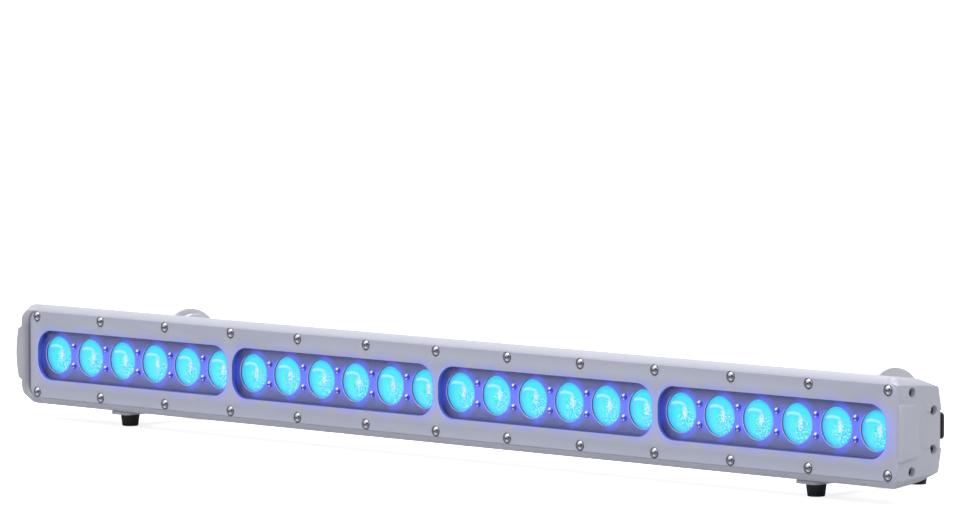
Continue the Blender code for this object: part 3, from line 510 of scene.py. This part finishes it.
def finish_of(name, colour, darker, metallic=0.0, low=0.4, high=0.5, grain=2600.0, bump=0.05):
    """A material with a fine grain and a slow change between two near colours."""
    made = bpy.data.materials.new(name)
    made.use_nodes = True
    tree = made.node_tree
    shader = tree.nodes["Principled BSDF"]
    shader.inputs["Metallic"].default_value = metallic
    effect = place_group(tree, surface_grain, Grain_Scale=grain, Low=low, High=high)
    tone = blend_colour(tree, effect.outputs["Patches"], linear(*darker), linear(*colour))
    tree.links.new(tone, shader.inputs["Base Color"])
    tree.links.new(effect.outputs["Roughness"], shader.inputs["Roughness"])
    relief = tree.nodes.new("ShaderNodeBump")
    relief.inputs["Strength"].default_value = bump
    relief.inputs["Distance"].default_value = GRAIN_DEPTH
    tree.links.new(effect.outputs["Height"], relief.inputs["Height"])
    tree.links.new(relief.outputs["Normal"], shader.inputs["Normal"])
    return made, shader, tone


def add_glow(finish, shader, share, colour, strength):
    """Adds light of one colour where the share is high."""
    tree = finish.node_tree
    glow = blend_colour(tree, share, (0.0, 0.0, 0.0, 1.0), colour)
    tree.links.new(glow, shader.inputs["Emission Color"])
    shader.inputs["Emission Strength"].default_value = strength


print("finish helpers ready")

# %% Paint, metal, rubber and plastic
grey_paint, _, _ = finish_of("grey_powder_coat", (170, 172, 183), (163, 165, 177), 0.0, 0.36, 0.46)
# The brackets wear the housing's grey paint, made lighter here as painted light for the light on their
# discs.
lit_bracket_paint, _, _ = finish_of("bracket_coat_painted_lighter", (186, 188, 196), (178, 180, 189), 0.0, 0.4, 0.5)
dark_steel, _, _ = finish_of("sunk_screw", (96, 96, 104), (82, 82, 90), 1.0, 0.3, 0.42, 1200.0, 0.02)
black_rubber, _, _ = finish_of("moulded_rubber", (30, 31, 35), (22, 23, 27), 0.0, 0.55, 0.75, 1800.0, 0.12)
black_plastic, _, _ = finish_of("moulded_plastic", (30, 30, 33), (22, 22, 25), 0.0, 0.35, 0.5, 2200.0, 0.1)
sheet_metal, _, _ = finish_of(
    "bare_aluminium", (190, 192, 196), (170, 172, 178), 1.0, 0.3, 0.45, 600.0, 0.04
)
foam, _, _ = finish_of("foam_seal", (46, 46, 50), (34, 34, 38), 0.0, 0.8, 0.95, 3000.0, 0.3)
pale_seal, _, _ = finish_of("pale_seal", (168, 170, 180), (158, 160, 170), 0.0, 0.7, 0.85, 3000.0, 0.2)
board, _, _ = finish_of("circuit_board", (214, 218, 214), (196, 202, 198), 0.0, 0.4, 0.5, 700.0, 0.05)
print("plain finishes:", len(bpy.data.materials))

# %% [markdown]
# The front plate has a greyer shade of the same paint, with a violet haze of the lamps' light
# painted over it around the windows. The haze is strongest beside a lens and at its height, thins
# out to the left of a window, and leaves the cut wall of the opening alone, which is painted a
# deep blue for the lamps' light and shade inside the window.

# %% Front plate paint
WALL_GAP = 0.0003

# Each pair says where an effect is full and where it has faded out, in metres.
HAZE_BY_LENS = (0.0205, 0.0310)
HAZE_AT_LEFT = (-0.1100, -0.1260)
HAZE_OFF_WALL = (0.0010, WALL_GAP)
PAINTED_WALL_LIGHT = (0.0001, WALL_GAP)
MID_HEIGHT = (0.0100, 0.0230)

plate_paint_and_haze, shader, tone = finish_of(
    "front_plate_paint_and_painted_haze", (166, 169, 185), (160, 163, 180), 0.0, 0.36, 0.46
)
tree = plate_paint_and_haze.node_tree
spill = place_group(tree, window_spill)
near = place_group(tree, lens_place)
beside = fading(tree, near.outputs["Distance"], *HAZE_BY_LENS)
not_left = fading(tree, spill.outputs["Across"], *HAZE_AT_LEFT)
off_wall = fading(tree, spill.outputs["Gap"], *HAZE_OFF_WALL)
haze = product(tree, spill.outputs["Spill"], beside, not_left, off_wall)
# Painted light: the violet haze of the lamps is laid into the plate's colour.
with_painted_light = blend_colour(tree, product(tree, haze, 0.7), tone, linear(142, 146, 226))
# Painted light and shade: the cut wall of each window is painted the deep blue of the lamps' light.
wall = fading(tree, spill.outputs["Gap"], *PAINTED_WALL_LIGHT)
with_painted_light = blend_colour(tree, wall, with_painted_light, linear(66, 80, 188))
tree.links.new(with_painted_light, shader.inputs["Base Color"])
# Painted glow of the haze, strongest at a lens's height.
level = fading(tree, math_node(tree, "ABSOLUTE", near.outputs["Up"]), *MID_HEIGHT)
strength = math_node(tree, "ADD", product(tree, level, 0.75), 0.25)
add_glow(plate_paint_and_haze, shader, product(tree, haze, strength), linear(62, 74, 240), 0.46)
print("finish:", plate_paint_and_haze.name)

# %% [markdown]
# The mask plate is darker and catches far more of the light, and all of that light is painted:
# its violet colour stands in for the lamps' light on the plate, a glow makes a halo round each
# lens, strongest between two lenses, and a dark band of painted shadow lies along its upper edge,
# where the front plate's own shadow falls. The ends of each window are painted in deeper shade.
# The chamfer of each hole has a painted highlight where it faces the lower left, and its wall is
# painted dark with shade.

# %% Mask finish
HOLE_R = 0.0156
CHAMFER = 0.0006

# Each pair says where an effect is full and where it has faded out, in metres.
BAND = (0.0040, 0.0170)
BETWEEN_LENSES = (0.0190, 0.0260)
INSIDE_ROW = (0.1000, 0.1120)
HALO = (0.0160, 0.0240)
HALO_RIGHT = (0.0060, -0.0060)
WINDOW_END = (0.1170, 0.1090)
TOP_SHADOW = (0.0210, 0.0150)
LOWER_LEFT = (-0.0080, 0.0020)

# Painted light: the mask's violet base colour stands in for the lamps' light on the plate.
mask_finish, shader, tone = finish_of("mask_in_painted_violet_light", (98, 108, 176), (88, 97, 164), 0.0, 0.3, 0.4)
tree = mask_finish.node_tree
near = place_group(tree, lens_place)
sight = place_group(tree, window_spill)
distance, up = near.outputs["Distance"], near.outputs["Up"]
from_middle = math_node(tree, "ABSOLUTE", sight.outputs["Across"])
band = fading(tree, math_node(tree, "ABSOLUTE", up), *BAND)
between = fading(tree, distance, *BETWEEN_LENSES)
inside = fading(tree, from_middle, *INSIDE_ROW)
halo = fading(tree, distance, *HALO)
rightward = fading(tree, near.outputs["Across"], *HALO_RIGHT)
at_end = fading(tree, from_middle, *WINDOW_END)
# Painted glow: a halo round each lens, a band between lenses and at the window's ends.
light = product(tree, band, between, inside)
for other in (product(tree, halo, rightward, 0.7), product(tree, at_end, band, 0.32)):
    light = math_node(tree, "MAXIMUM", light, other)
on_face = fading(tree, distance, HOLE_R + CHAMFER, HOLE_R + 0.8 * CHAMFER)
add_glow(mask_finish, shader, product(tree, light, on_face), linear(44, 66, 250), 0.80)
# Painted shade: the front plate's shadow along the top, and deeper shade at the window's ends.
shaded = blend_colour(tree, fading(tree, up, *TOP_SHADOW), tone, linear(40, 42, 130))
shaded = blend_colour(tree, product(tree, at_end, 0.8), shaded, linear(34, 44, 140))
# Painted highlight on the chamfer at the lower left of each hole.
lower_left = math_node(tree, "ADD", near.outputs["Across"], product(tree, up, 0.6))
chamfer = product(
    tree,
    fading(tree, distance, HOLE_R + 0.3 * CHAMFER, HOLE_R),
    fading(tree, distance, HOLE_R + 0.6 * CHAMFER, HOLE_R + CHAMFER),
    fading(tree, lower_left, *LOWER_LEFT),
)
with_chamfer_highlight = blend_colour(tree, chamfer, shaded, linear(176, 186, 250))
# Painted shade on the wall of each hole.
wall = fading(tree, distance, HOLE_R, HOLE_R + 0.2 * CHAMFER)
tree.links.new(blend_colour(tree, wall, with_chamfer_highlight, linear(30, 40, 130)), shader.inputs["Base Color"])
print("finish:", mask_finish.name)

# %% [markdown]
# A polished dome mirrors the bright ceiling in its upper part and the dim room around its middle,
# with a small spot of the floor below. The screws are too small to show that well by themselves,
# so a painted highlight on the crown, a painted reflection of the floor below it and painted shade
# across the middle help it along. Both kinds of screw stand in two even rows, so the place on one
# screw follows from the place on the bar. The blue of the mask screws is painted lamp light.

# %% Polished screws
SCREW_PITCH, SCREW_Z, SCREW_R = 0.080, 0.0325, 0.0039
MASK_SCREW_Z, MASK_SCREW_R = 0.0082, 0.0027


def screw_finish(name, bright, dark, pitch, row_z, radius, highlight_strength):
    """Polished steel for two rows of screws, row_z above and below the middle, pitch apart, with painted
    highlights and painted shade.
    """
    made, shader, tone = finish_of(name, bright, bright, 1.0, 0.16, 0.22, 900.0, 0.01)
    tree = made.node_tree
    along, height = place_on_bar(tree)
    across = math_node(tree, "WRAP", along, pitch / 2, -pitch / 2)
    up = math_node(tree, "SUBTRACT", math_node(tree, "WRAP", height, 2 * row_z, 0.0), row_z)

    def spot(right, above, full, none):
        """A soft round patch of painted light, its place and reach given as shares of the screw's radius.
        """
        dx = math_node(tree, "SUBTRACT", across, right * radius)
        dz = math_node(tree, "SUBTRACT", up, above * radius)
        return fading(tree, length_of(tree, dx, dz), full * radius, none * radius)

    # Painted highlight on the crown, painted floor reflection below it, painted shade across the middle.
    top = spot(0.0, 0.60, 0.25, 0.60)
    below = product(tree, spot(0.15, -0.50, 0.05, 0.40), 0.6)
    middle = fading(tree, math_node(tree, "ABSOLUTE", up), 0.20 * radius, 0.70 * radius)
    tree.links.new(blend_colour(tree, middle, tone, linear(*dark)), shader.inputs["Base Color"])
    add_glow(made, shader, math_node(tree, "MAXIMUM", top, below), linear(244, 244, 255), highlight_strength)
    return made


screw_steel = screw_finish(
    "polished_screw", (160, 160, 168), (112, 112, 122), SCREW_PITCH, SCREW_Z, SCREW_R, 0.6
)
lit_screw = screw_finish(
    "screw_in_blue_light", (110, 116, 236), (60, 64, 190), LENS_PITCH, MASK_SCREW_Z, MASK_SCREW_R, 0.9
)
print("screw finishes:", screw_steel.name, lit_screw.name)

# %% [markdown]
# A lens is moulded clear plastic, lit from behind until it reads as solid cyan; that light is
# painted on as a glow. Its light isn't even: a pale arc in its upper half is a painted reflection
# of the overhead lamp, a bright upright drop sits right of its centre, a greener patch left of it,
# and the moulded texture breaks up into fine sparkle towards the rim at the lower right.

# %% Lens
LENS_R = 0.0145
ARC_MIDDLE = -0.0045
SPECK_SCALE = 800.0

# Each pair says where an effect is full and where it has faded out: in metres, or for the specks
# in the noise's own value.
ARC_REACH = (0.0055, 0.0090)
RIM_SHADE = (LENS_R, 0.0120)
LEFT_SHADE = (-0.0120, -0.0060)
BRIGHT_SPECKS = (0.64, 0.54)
DARK_SPECKS = (0.36, 0.46)

lens_finish, shader, tone = finish_of("lit_lens", (10, 44, 62), (8, 36, 52), 0.0, 0.05, 0.12, 500.0, 0.02)
tree = lens_finish.node_tree
near = place_group(tree, lens_place)


def patch_at(across, up, radius, soft, tall=1.0):
    """1 inside an oval patch of the lens, fading to 0 over its soft edge."""
    dx = math_node(tree, "SUBTRACT", near.outputs["Across"], across)
    dz = math_node(tree, "DIVIDE", math_node(tree, "SUBTRACT", near.outputs["Up"], up), tall)
    return fading(tree, length_of(tree, dx, dz), radius - soft, radius + soft)


# The pale arc is a painted reflection of the overhead lamp.
outer = patch_at(ARC_MIDDLE, -0.0125, 0.0212, 0.0006)
inner = patch_at(ARC_MIDDLE, -0.0140, 0.0206, 0.0008)
along_arc = math_node(tree, "ABSOLUTE", math_node(tree, "SUBTRACT", near.outputs["Across"], ARC_MIDDLE))
arc = product(tree, outer, math_node(tree, "SUBTRACT", 1.0, inner), fading(tree, along_arc, *ARC_REACH))
drop = patch_at(0.0028, 0.0004, 0.0021, 0.0013, 2.1)
green = patch_at(-0.0040, -0.0015, 0.0050, 0.0040)
specks = noise(tree, SPECK_SCALE, 1.0)
lower = patch_at(0.0050, -0.0050, 0.0095, 0.0045)
glitter = product(tree, fading(tree, specks, *BRIGHT_SPECKS), lower)
dimples = product(tree, fading(tree, specks, *DARK_SPECKS), lower)
edge = fading(tree, near.outputs["Distance"], *RIM_SHADE)
left = fading(tree, near.outputs["Across"], *LEFT_SHADE)
light = linear(46, 232, 254)
for share, colour in (
    (left, (60, 212, 252)),
    (green, (18, 242, 242)),
    (edge, (30, 200, 246)),
    (product(tree, arc, 0.9), (170, 246, 255)),
    (product(tree, drop, 0.9), (222, 246, 254)),
    (product(tree, glitter, 0.75), (205, 253, 255)),
    (product(tree, dimples, 0.75), (16, 176, 216)),
):
    light = blend_colour(tree, share, light, linear(*colour))
# Painted glow: the lamp behind the lens isn't modelled, so its light is painted on.
tree.links.new(light, shader.inputs["Emission Color"])
shader.inputs["Emission Strength"].default_value = 0.95
shader.inputs["Specular IOR Level"].default_value = 0.3
print("finish:", lens_finish.name)

# %% [markdown]
# The panes are clear glass, a sheet in front of each window. Looking straight through, glass is
# almost invisible, and it mirrors more at a glance, so its opacity grows as the face turns away.

# %% Glass
LEAST_OPACITY = 0.03

pane_glass = bpy.data.materials.new("clear_pane")
pane_glass.use_nodes = True
tree = pane_glass.node_tree
shader = tree.nodes["Principled BSDF"]
shader.inputs["Base Color"].default_value = (0.9, 0.93, 1.0, 1.0)
shader.inputs["Roughness"].default_value = 0.03
facing = tree.nodes.new("ShaderNodeLayerWeight")
facing.inputs["Blend"].default_value = 0.5
glance = math_node(tree, "POWER", facing.outputs["Facing"], 4.0)
opacity = math_node(tree, "ADD", product(tree, glance, 0.5), LEAST_OPACITY)
tree.links.new(opacity, shader.inputs["Alpha"])
for number in range(1, 5):
    pane = nodes[f"glass_pane_{number}"]
    pane.data.materials.clear()
    pane.data.materials.append(pane_glass)
print("panes dressed")

# %% [markdown]
# The front plate is one sheet with rounded corners. The four windows and the round screw seats
# are cut out of it, and a fine bevel afterwards gives every edge the highlight that painted
# metal has. Cutting first and bevelling last keeps the bevel even around all the holes.

# %% Front plate
PLATE_CORNER = 0.0090
RIM_ROUND = 0.0010
CUT_ROUND = 0.0005
SCREW_COLUMNS = 13
SEAT_R = 0.0046
SEAT_DEPTH = 0.0020
CUTTER_REACH = 0.01
SCREW_XS = [(i - (SCREW_COLUMNS - 1) / 2) * SCREW_PITCH for i in range(SCREW_COLUMNS)]

# The sheet stands a hair proud of its node above, below and at the right, and short of it at
# the left, where the cap's raised rim begins.
FIT_LOW = Vector((0.0005, 0.0, -0.00025))
FIT_HIGH = Vector((0.00025, 0.0, 0.00025))

plate = rounded_slab("front_plate", plate_low + FIT_LOW, plate_high + FIT_HIGH, PLATE_CORNER, 12)
pick(plate, "EDGE", lambda e: all(v.co.y < FACE_Y + 1e-6 for v in e.verts))
bpy.ops.mesh.bevel(offset=RIM_ROUND, segments=4, affect="EDGES")
only(plate)
cutters = []
for x in WINDOW_XS:
    low = on_bar(x - HALF_WINDOW_X, -CUTTER_REACH, -HALF_WINDOW_Z)
    high = on_bar(x + HALF_WINDOW_X, CUTTER_REACH, HALF_WINDOW_Z)
    cutters.append(rounded_slab("window_cutter", low, high, WINDOW_CORNER, 14))
carve(plate, joined("window_cutters", cutters))
seats = []
for x in SCREW_XS:
    for z in (-SCREW_Z, SCREW_Z):
        seats.append(disc("seat_cutter", on_bar(x, 0.0, z), SEAT_R, 2 * SEAT_DEPTH, 28))
carve(plate, joined("seat_cutters", seats))
soften(plate, CUT_ROUND, 3)
dress(plate, "bar_body", plate_paint_and_haze, "front_frame")
print("front plate:", len(plate.data.polygons), "faces")

# %% [markdown]
# Twenty-six polished screws hold the plate. Each has a low domed head with a six-sided socket.
# The head starts as a cylinder, its front face is inset ring by ring, and each ring is moved
# forward along a quarter circle, which is how a dome is turned on a lathe.

# %% Frame screws
DOME_ANGLE = math.radians(72)
DOME_RINGS = 6
KEY_DEPTH = 0.6
SHANK = 0.0006
DOME_SMOOTH = math.radians(40)


def dome_screw(name, centre, radius, height, key_radius, sides=24):
    """A domed head that faces -Y, with a six-sided socket in its middle."""
    head = disc(name, centre, radius, SHANK, sides)
    pick(head, "FACE", lambda f: f.normal.y < -FACING)
    inward, rise = 0.0, 0.0
    for ring in range(1, DOME_RINGS + 1):
        angle = DOME_ANGLE * ring / DOME_RINGS
        next_inward = radius * (1 - math.cos(angle))
        next_rise = height * math.sin(angle) / math.sin(DOME_ANGLE)
        bpy.ops.mesh.inset(thickness=next_inward - inward, depth=0.0)
        bpy.ops.transform.translate(value=(0.0, rise - next_rise, 0.0))
        inward, rise = next_inward, next_rise
    only(head)
    socket = disc("key", centre + Vector((0.0, -height, 0.0)), key_radius, height * KEY_DEPTH, 6)
    carve(head, socket)
    only(head)
    bpy.ops.object.shade_smooth_by_angle(angle=DOME_SMOOTH)
    return head


seat_floor = SEAT_DEPTH - SHANK / 2
first = dome_screw("screw", on_bar(0.0, seat_floor, 0.0), SCREW_R, height=0.0026, key_radius=0.0008)
screws = [copied(first, Vector((x, 0.0, z))) for x in SCREW_XS for z in (-SCREW_Z, SCREW_Z)]
bpy.data.objects.remove(first, do_unlink=True)
screws = joined("front_plate_screws", screws)
dress(screws, "bar_body", screw_steel)
print("screws:", len(screws.data.polygons), "faces")

# %% [markdown]
# A mask plate lies behind each pane. Its two ends are turned forward to the front plate as thin
# sheets, which lay the mask's painted shade over the grey walls of the housing's pocket. Its six
# round holes have a small chamfer, which catches the light, helped by a painted highlight, as a
# thin bright crescent at the lower left of every lens. Pairs of tiny domed screws hold it between
# the holes.

# %% Mask plates
FLANGE_THICK = 0.0004
SHORT_EDGE = 0.0030
mask_front, mask_back = depth_of("mask_plate_1")
plate_back = depth_of("front_frame")[1]


def on_hole_rim(edge, front_y):
    """True for the short edges round a hole's mouth, in the front face."""
    in_face = all(abs(v.co.y - front_y) < 1e-6 for v in edge.verts)
    slanted = len({round(v.co.x, 5) for v in edge.verts}) > 1
    return in_face and slanted and edge.calc_length() < SHORT_EDGE


for number, window_x in enumerate(WINDOW_XS, 1):
    low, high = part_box(f"mask_plate_{number}")
    mask = slab(f"mask_{number}", low, high)
    middle = (mask_front + mask_back) / 2
    holes = [
        disc("hole", on_bar(window_x + offset, middle, 0.0), HOLE_R, CUTTER_REACH, 64)
        for offset in LENS_OFFSETS
    ]
    carve(mask, joined("holes", holes))
    pick(mask, "EDGE", lambda e: on_hole_rim(e, low.y))
    bpy.ops.mesh.bevel(offset=CHAMFER, segments=1, affect="EDGES")
    only(mask)
    bpy.ops.object.shade_smooth_by_angle(angle=SHARP)
    # The turned-up ends are sheets that carry the mask's painted shade over the pocket's grey walls.
    turned_up = Vector((FLANGE_THICK, mask_front - plate_back, high.z - low.z))
    corners = [Vector((x, FACE_Y + plate_back, low.z)) for x in (low.x, high.x - FLANGE_THICK)]
    shade_sheets = [slab("shade_sheet", corner, corner + turned_up) for corner in corners]
    mask = joined(f"mask_{number}", [mask] + shade_sheets)
    dress(mask, "bar_body", mask_finish, f"mask_plate_{number}")
print("mask plates:", len(mask.data.polygons), "faces each")

# %% Mask screws
mask_face = on_bar(0.0, mask_front, 0.0)
first = dome_screw("mask_screw", mask_face, MASK_SCREW_R, height=0.0016, key_radius=0.0006, sides=20)
columns = [window_x + (i - 2) * LENS_PITCH for window_x in WINDOW_XS for i in range(5)]
tiny = [copied(first, Vector((x, 0.0, z))) for x in columns for z in (-MASK_SCREW_Z, MASK_SCREW_Z)]
bpy.data.objects.remove(first, do_unlink=True)
mask_screws = joined("mask_screws", tiny)
dress(mask_screws, "bar_body", lit_screw)
print("mask screws:", len(mask_screws.data.polygons), "faces")

# %% [markdown]
# One lens is a short cylinder whose front is inset and raised into a low dome with a step near
# its rim. Behind, it narrows towards the lamp like a torch's lens. Six of them sit on one
# moulded carrier, so each row is a single piece, as it is in the lamp.

# %% Lenses
LENS_RIM = 0.0010
LENS_RINGS = 6
CROWN_HEIGHT = 0.0009
CROWN_BACK = 0.0007
TAIL_R = 0.0050
CARRIER_THICK = 0.0018
CARRIER_GAP = 0.0003
LENS_SMOOTH = math.radians(35)

lens_front, lens_tip = depth_of("lens_strip_1")
carrier_y = mask_back + CARRIER_GAP


def crown_rise(share):
    """How high the crown stands at this share of the way from its rim to its middle."""
    return CROWN_HEIGHT * (1 - (1 - share) ** 2)


def one_lens(name):
    """A lens about the bar's middle, facing -Y."""
    depth = carrier_y + CARRIER_THICK - lens_front
    middle = on_bar(0.0, lens_front + CROWN_BACK + depth / 2, 0.0)
    made = disc(name, middle, LENS_R, depth, 64)
    back = max(v.co.y for v in made.data.vertices)
    pick(made, "FACE", lambda f: f.normal.y < -FACING)
    bpy.ops.mesh.inset(thickness=LENS_RIM, depth=0.0)
    for ring in range(1, LENS_RINGS):
        rise = crown_rise(ring / LENS_RINGS) - crown_rise((ring - 1) / LENS_RINGS)
        bpy.ops.mesh.inset(thickness=(LENS_R - LENS_RIM) / LENS_RINGS, depth=0.0)
        bpy.ops.transform.translate(value=(0.0, -rise, 0.0))
    pick(made, "FACE", lambda f: f.normal.y > FACING)
    length = lens_tip - (back - FACE_Y)
    bpy.ops.mesh.extrude_region_move(TRANSFORM_OT_translate={"value": (0.0, length, 0.0)})
    share = TAIL_R / LENS_R
    bpy.ops.transform.resize(value=(share, 1.0, share), center_override=on_bar(0.0, lens_tip, 0.0))
    only(made)
    bpy.ops.object.shade_smooth_by_angle(angle=LENS_SMOOTH)
    return made


first = one_lens("lens")
for number, window_x in enumerate(WINDOW_XS, 1):
    low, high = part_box(f"lens_strip_{number}")
    carrier_low = Vector((low.x, FACE_Y + carrier_y, low.z))
    carrier_high = Vector((high.x, FACE_Y + carrier_y + CARRIER_THICK, high.z))
    parts = [slab("carrier", carrier_low, carrier_high)]
    parts += [copied(first, Vector((window_x + offset, 0.0, 0.0))) for offset in LENS_OFFSETS]
    row = joined(f"lens_row_{number}", parts)
    dress(row, "bar_body", lens_finish, f"lens_strip_{number}")
bpy.data.objects.remove(first, do_unlink=True)
print("lens rows:", len(row.data.polygons), "faces each")

# %% [markdown]
# The other solids already have the right shape, but their edges are knife-sharp and their faces
# are loose triangles. A copy of each is welded, its flat faces are made whole again, and its
# edges are rounded a little, so that light runs along them as on a real casting or pressing.

# %% Refine a solid
WELD_DISTANCE = 0.000005
FLAT_WITHIN = math.radians(1.0)


def cleaned(node):
    """A copy of a node with its points welded and its flat faces whole."""
    made = nodes[node].copy()
    made.data = nodes[node].data.copy()
    made.parent = None
    for key in list(made.keys()):
        del made[key]
    made.name = f"{node}_finished"
    bpy.context.scene.collection.objects.link(made)
    only(made)
    bpy.ops.object.mode_set(mode="EDIT")
    bpy.ops.mesh.select_all(action="SELECT")
    bpy.ops.mesh.remove_doubles(threshold=WELD_DISTANCE)
    bpy.ops.mesh.dissolve_limited(angle_limit=FLAT_WITHIN)
    bpy.ops.object.mode_set(mode="OBJECT")
    return made


def round_edges(piece, width, test):
    """Rounds only the sharp edges that pass the test."""
    pick(piece, "EDGE", lambda e: e.calc_face_angle(0.0) > SHARP and test(e))
    bpy.ops.mesh.bevel(offset=width, segments=3, affect="EDGES", clamp_overlap=True)
    only(piece)
    bpy.ops.object.shade_smooth_by_angle(angle=SHARP)


print("refining helpers ready")

# %% [markdown]
# The housing is an extrusion, so only the edges that run along the bar are rounded. Its ends are
# sawn square, and the caps lie against them.

# %% Housing
LONG_EDGE_ROUND = 0.0012


def lies_along_bar(edge):
    return abs((edge.verts[1].co - edge.verts[0].co).normalized().x) > 0.99


housing = cleaned("housing")
round_edges(housing, LONG_EDGE_ROUND, lies_along_bar)
dress(housing, "bar_body", grey_paint, "housing")
print("housing:", len(housing.data.polygons), "faces")

# %% [markdown]
# The two caps are castings. Their edges are rounded, except at the joint with the housing, where
# both have to end in the same line. The left cap stands deeper, and its side falls into shade
# beside the front plate's rim, so that shade is painted into its paint there at mid-height. Its
# paint is also a little darker all over than the right cap's: painted shade for that side.

# %% End caps
CAP_EDGE_ROUND = 0.0008
JOINT_REACH = 0.0020
SHADE_REACH = 0.0100
SHADE_LEVEL = (0.0220, 0.0340)

# Painted shade: the left cap's paint is darker overall, and darker still beside the plate at mid-height.
left_paint_and_shade, shader, tone = finish_of(
    "left_cap_paint_with_painted_shade", (164, 165, 176), (157, 158, 170), 0.0, 0.36, 0.46
)
tree = left_paint_and_shade.node_tree
along, height = place_on_bar(tree)
plate_end = plate_low.x - BAR_X
by_plate = fading(tree, along, plate_end, plate_end - SHADE_REACH)
level = fading(tree, math_node(tree, "ABSOLUTE", height), *SHADE_LEVEL)
shade = product(tree, by_plate, level, 0.8)
tree.links.new(blend_colour(tree, shade, tone, linear(116, 117, 128)), shader.inputs["Base Color"])

for side, paint in (("left", left_paint_and_shade), ("right", grey_paint)):
    cap = cleaned(f"{side}_end_cap")
    joint_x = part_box(f"{side}_cap_seal")[0].x
    round_edges(cap, CAP_EDGE_ROUND, lambda e: max(abs(v.co.x - joint_x) for v in e.verts) > JOINT_REACH)
    dress(cap, "bar_body", paint, f"{side}_end_cap")
    print(side, "cap:", len(cap.data.polygons), "faces")

# %% [markdown]
# A thin pale seal fills the joint between a cap and the housing. It is widened until it touches
# both, so that the joint reads as a fine line and not as a gap that looks into the housing.

# %% Cap seals
SEAL_STRETCH = 1.9
for side in ("left", "right"):
    seal = cleaned(f"{side}_cap_seal")
    low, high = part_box(f"{side}_cap_seal")
    pick(seal, "VERT", lambda v: True)
    bpy.ops.transform.resize(value=(SEAL_STRETCH, 1.0, 1.0), center_override=(low + high) / 2)
    only(seal)
    dress(seal, "bar_body", pale_seal, f"{side}_cap_seal")
print("cap seals widened")

# %% [markdown]
# Everything else on the outside is rounded all over by a small width that suits its make: more
# for a pressed bracket or a moulded foot, less for a small button.

# %% Brackets, sockets and buttons
def refine_as(node, body, finish, width, segments=2):
    made = cleaned(node)
    soften(made, width, segments)
    return dress(made, body, finish, node)


for side in ("left", "right"):
    refine_as(f"{side}_hinge_arm", "bar_body", lit_bracket_paint, 0.0006)
    bracket = f"{side}_bracket_body"
    refine_as(f"{side}_bracket", bracket, lit_bracket_paint, 0.0006)
    refine_as(f"{side}_tilt_knob", f"{side}_knob_body", black_plastic, 0.0008, 3)
    for place in ("front", "rear"):
        refine_as(f"{side}_{place}_foot", bracket, black_rubber, 0.0006, 3)
for name in ("power_out", "data_out", "data_in", "power_in"):
    refine_as(f"{name}_socket", "bar_body", black_plastic, 0.0004)
    refine_as(f"{name}_cap", f"{name}_cap_body", black_rubber, 0.0005)
refine_as("control_panel", "bar_body", black_plastic, 0.0003)
for name in ("menu", "up", "down", "enter"):
    refine_as(f"{name}_button", f"{name}_button_body", black_rubber, 0.0002)
print("refined solids done")

# %% [markdown]
# What is left are the pieces inside and the seals. They hardly show, but a good model is dressed
# all through, so each keeps its solid and gets its own finish.

# %% Inner pieces
inner_finishes = {
    "heat_spreader": sheet_metal,
    "power_supply": sheet_metal,
    "control_board": board,
    "frame_seal": foam,
}
for side in ("left", "right"):
    inner_finishes[f"{side}_friction_washer"] = foam
    for number in range(1, 5):
        inner_finishes[f"{side}_cap_screw_{number}"] = dark_steel
for number in range(1, 5):
    inner_finishes[f"led_board_{number}"] = board
for name, finish in inner_finishes.items():
    nodes[name].data.materials.clear()
    nodes[name].data.materials.append(finish)
print("inner pieces dressed:", len(inner_finishes))

# %% Finish
print("scene built")
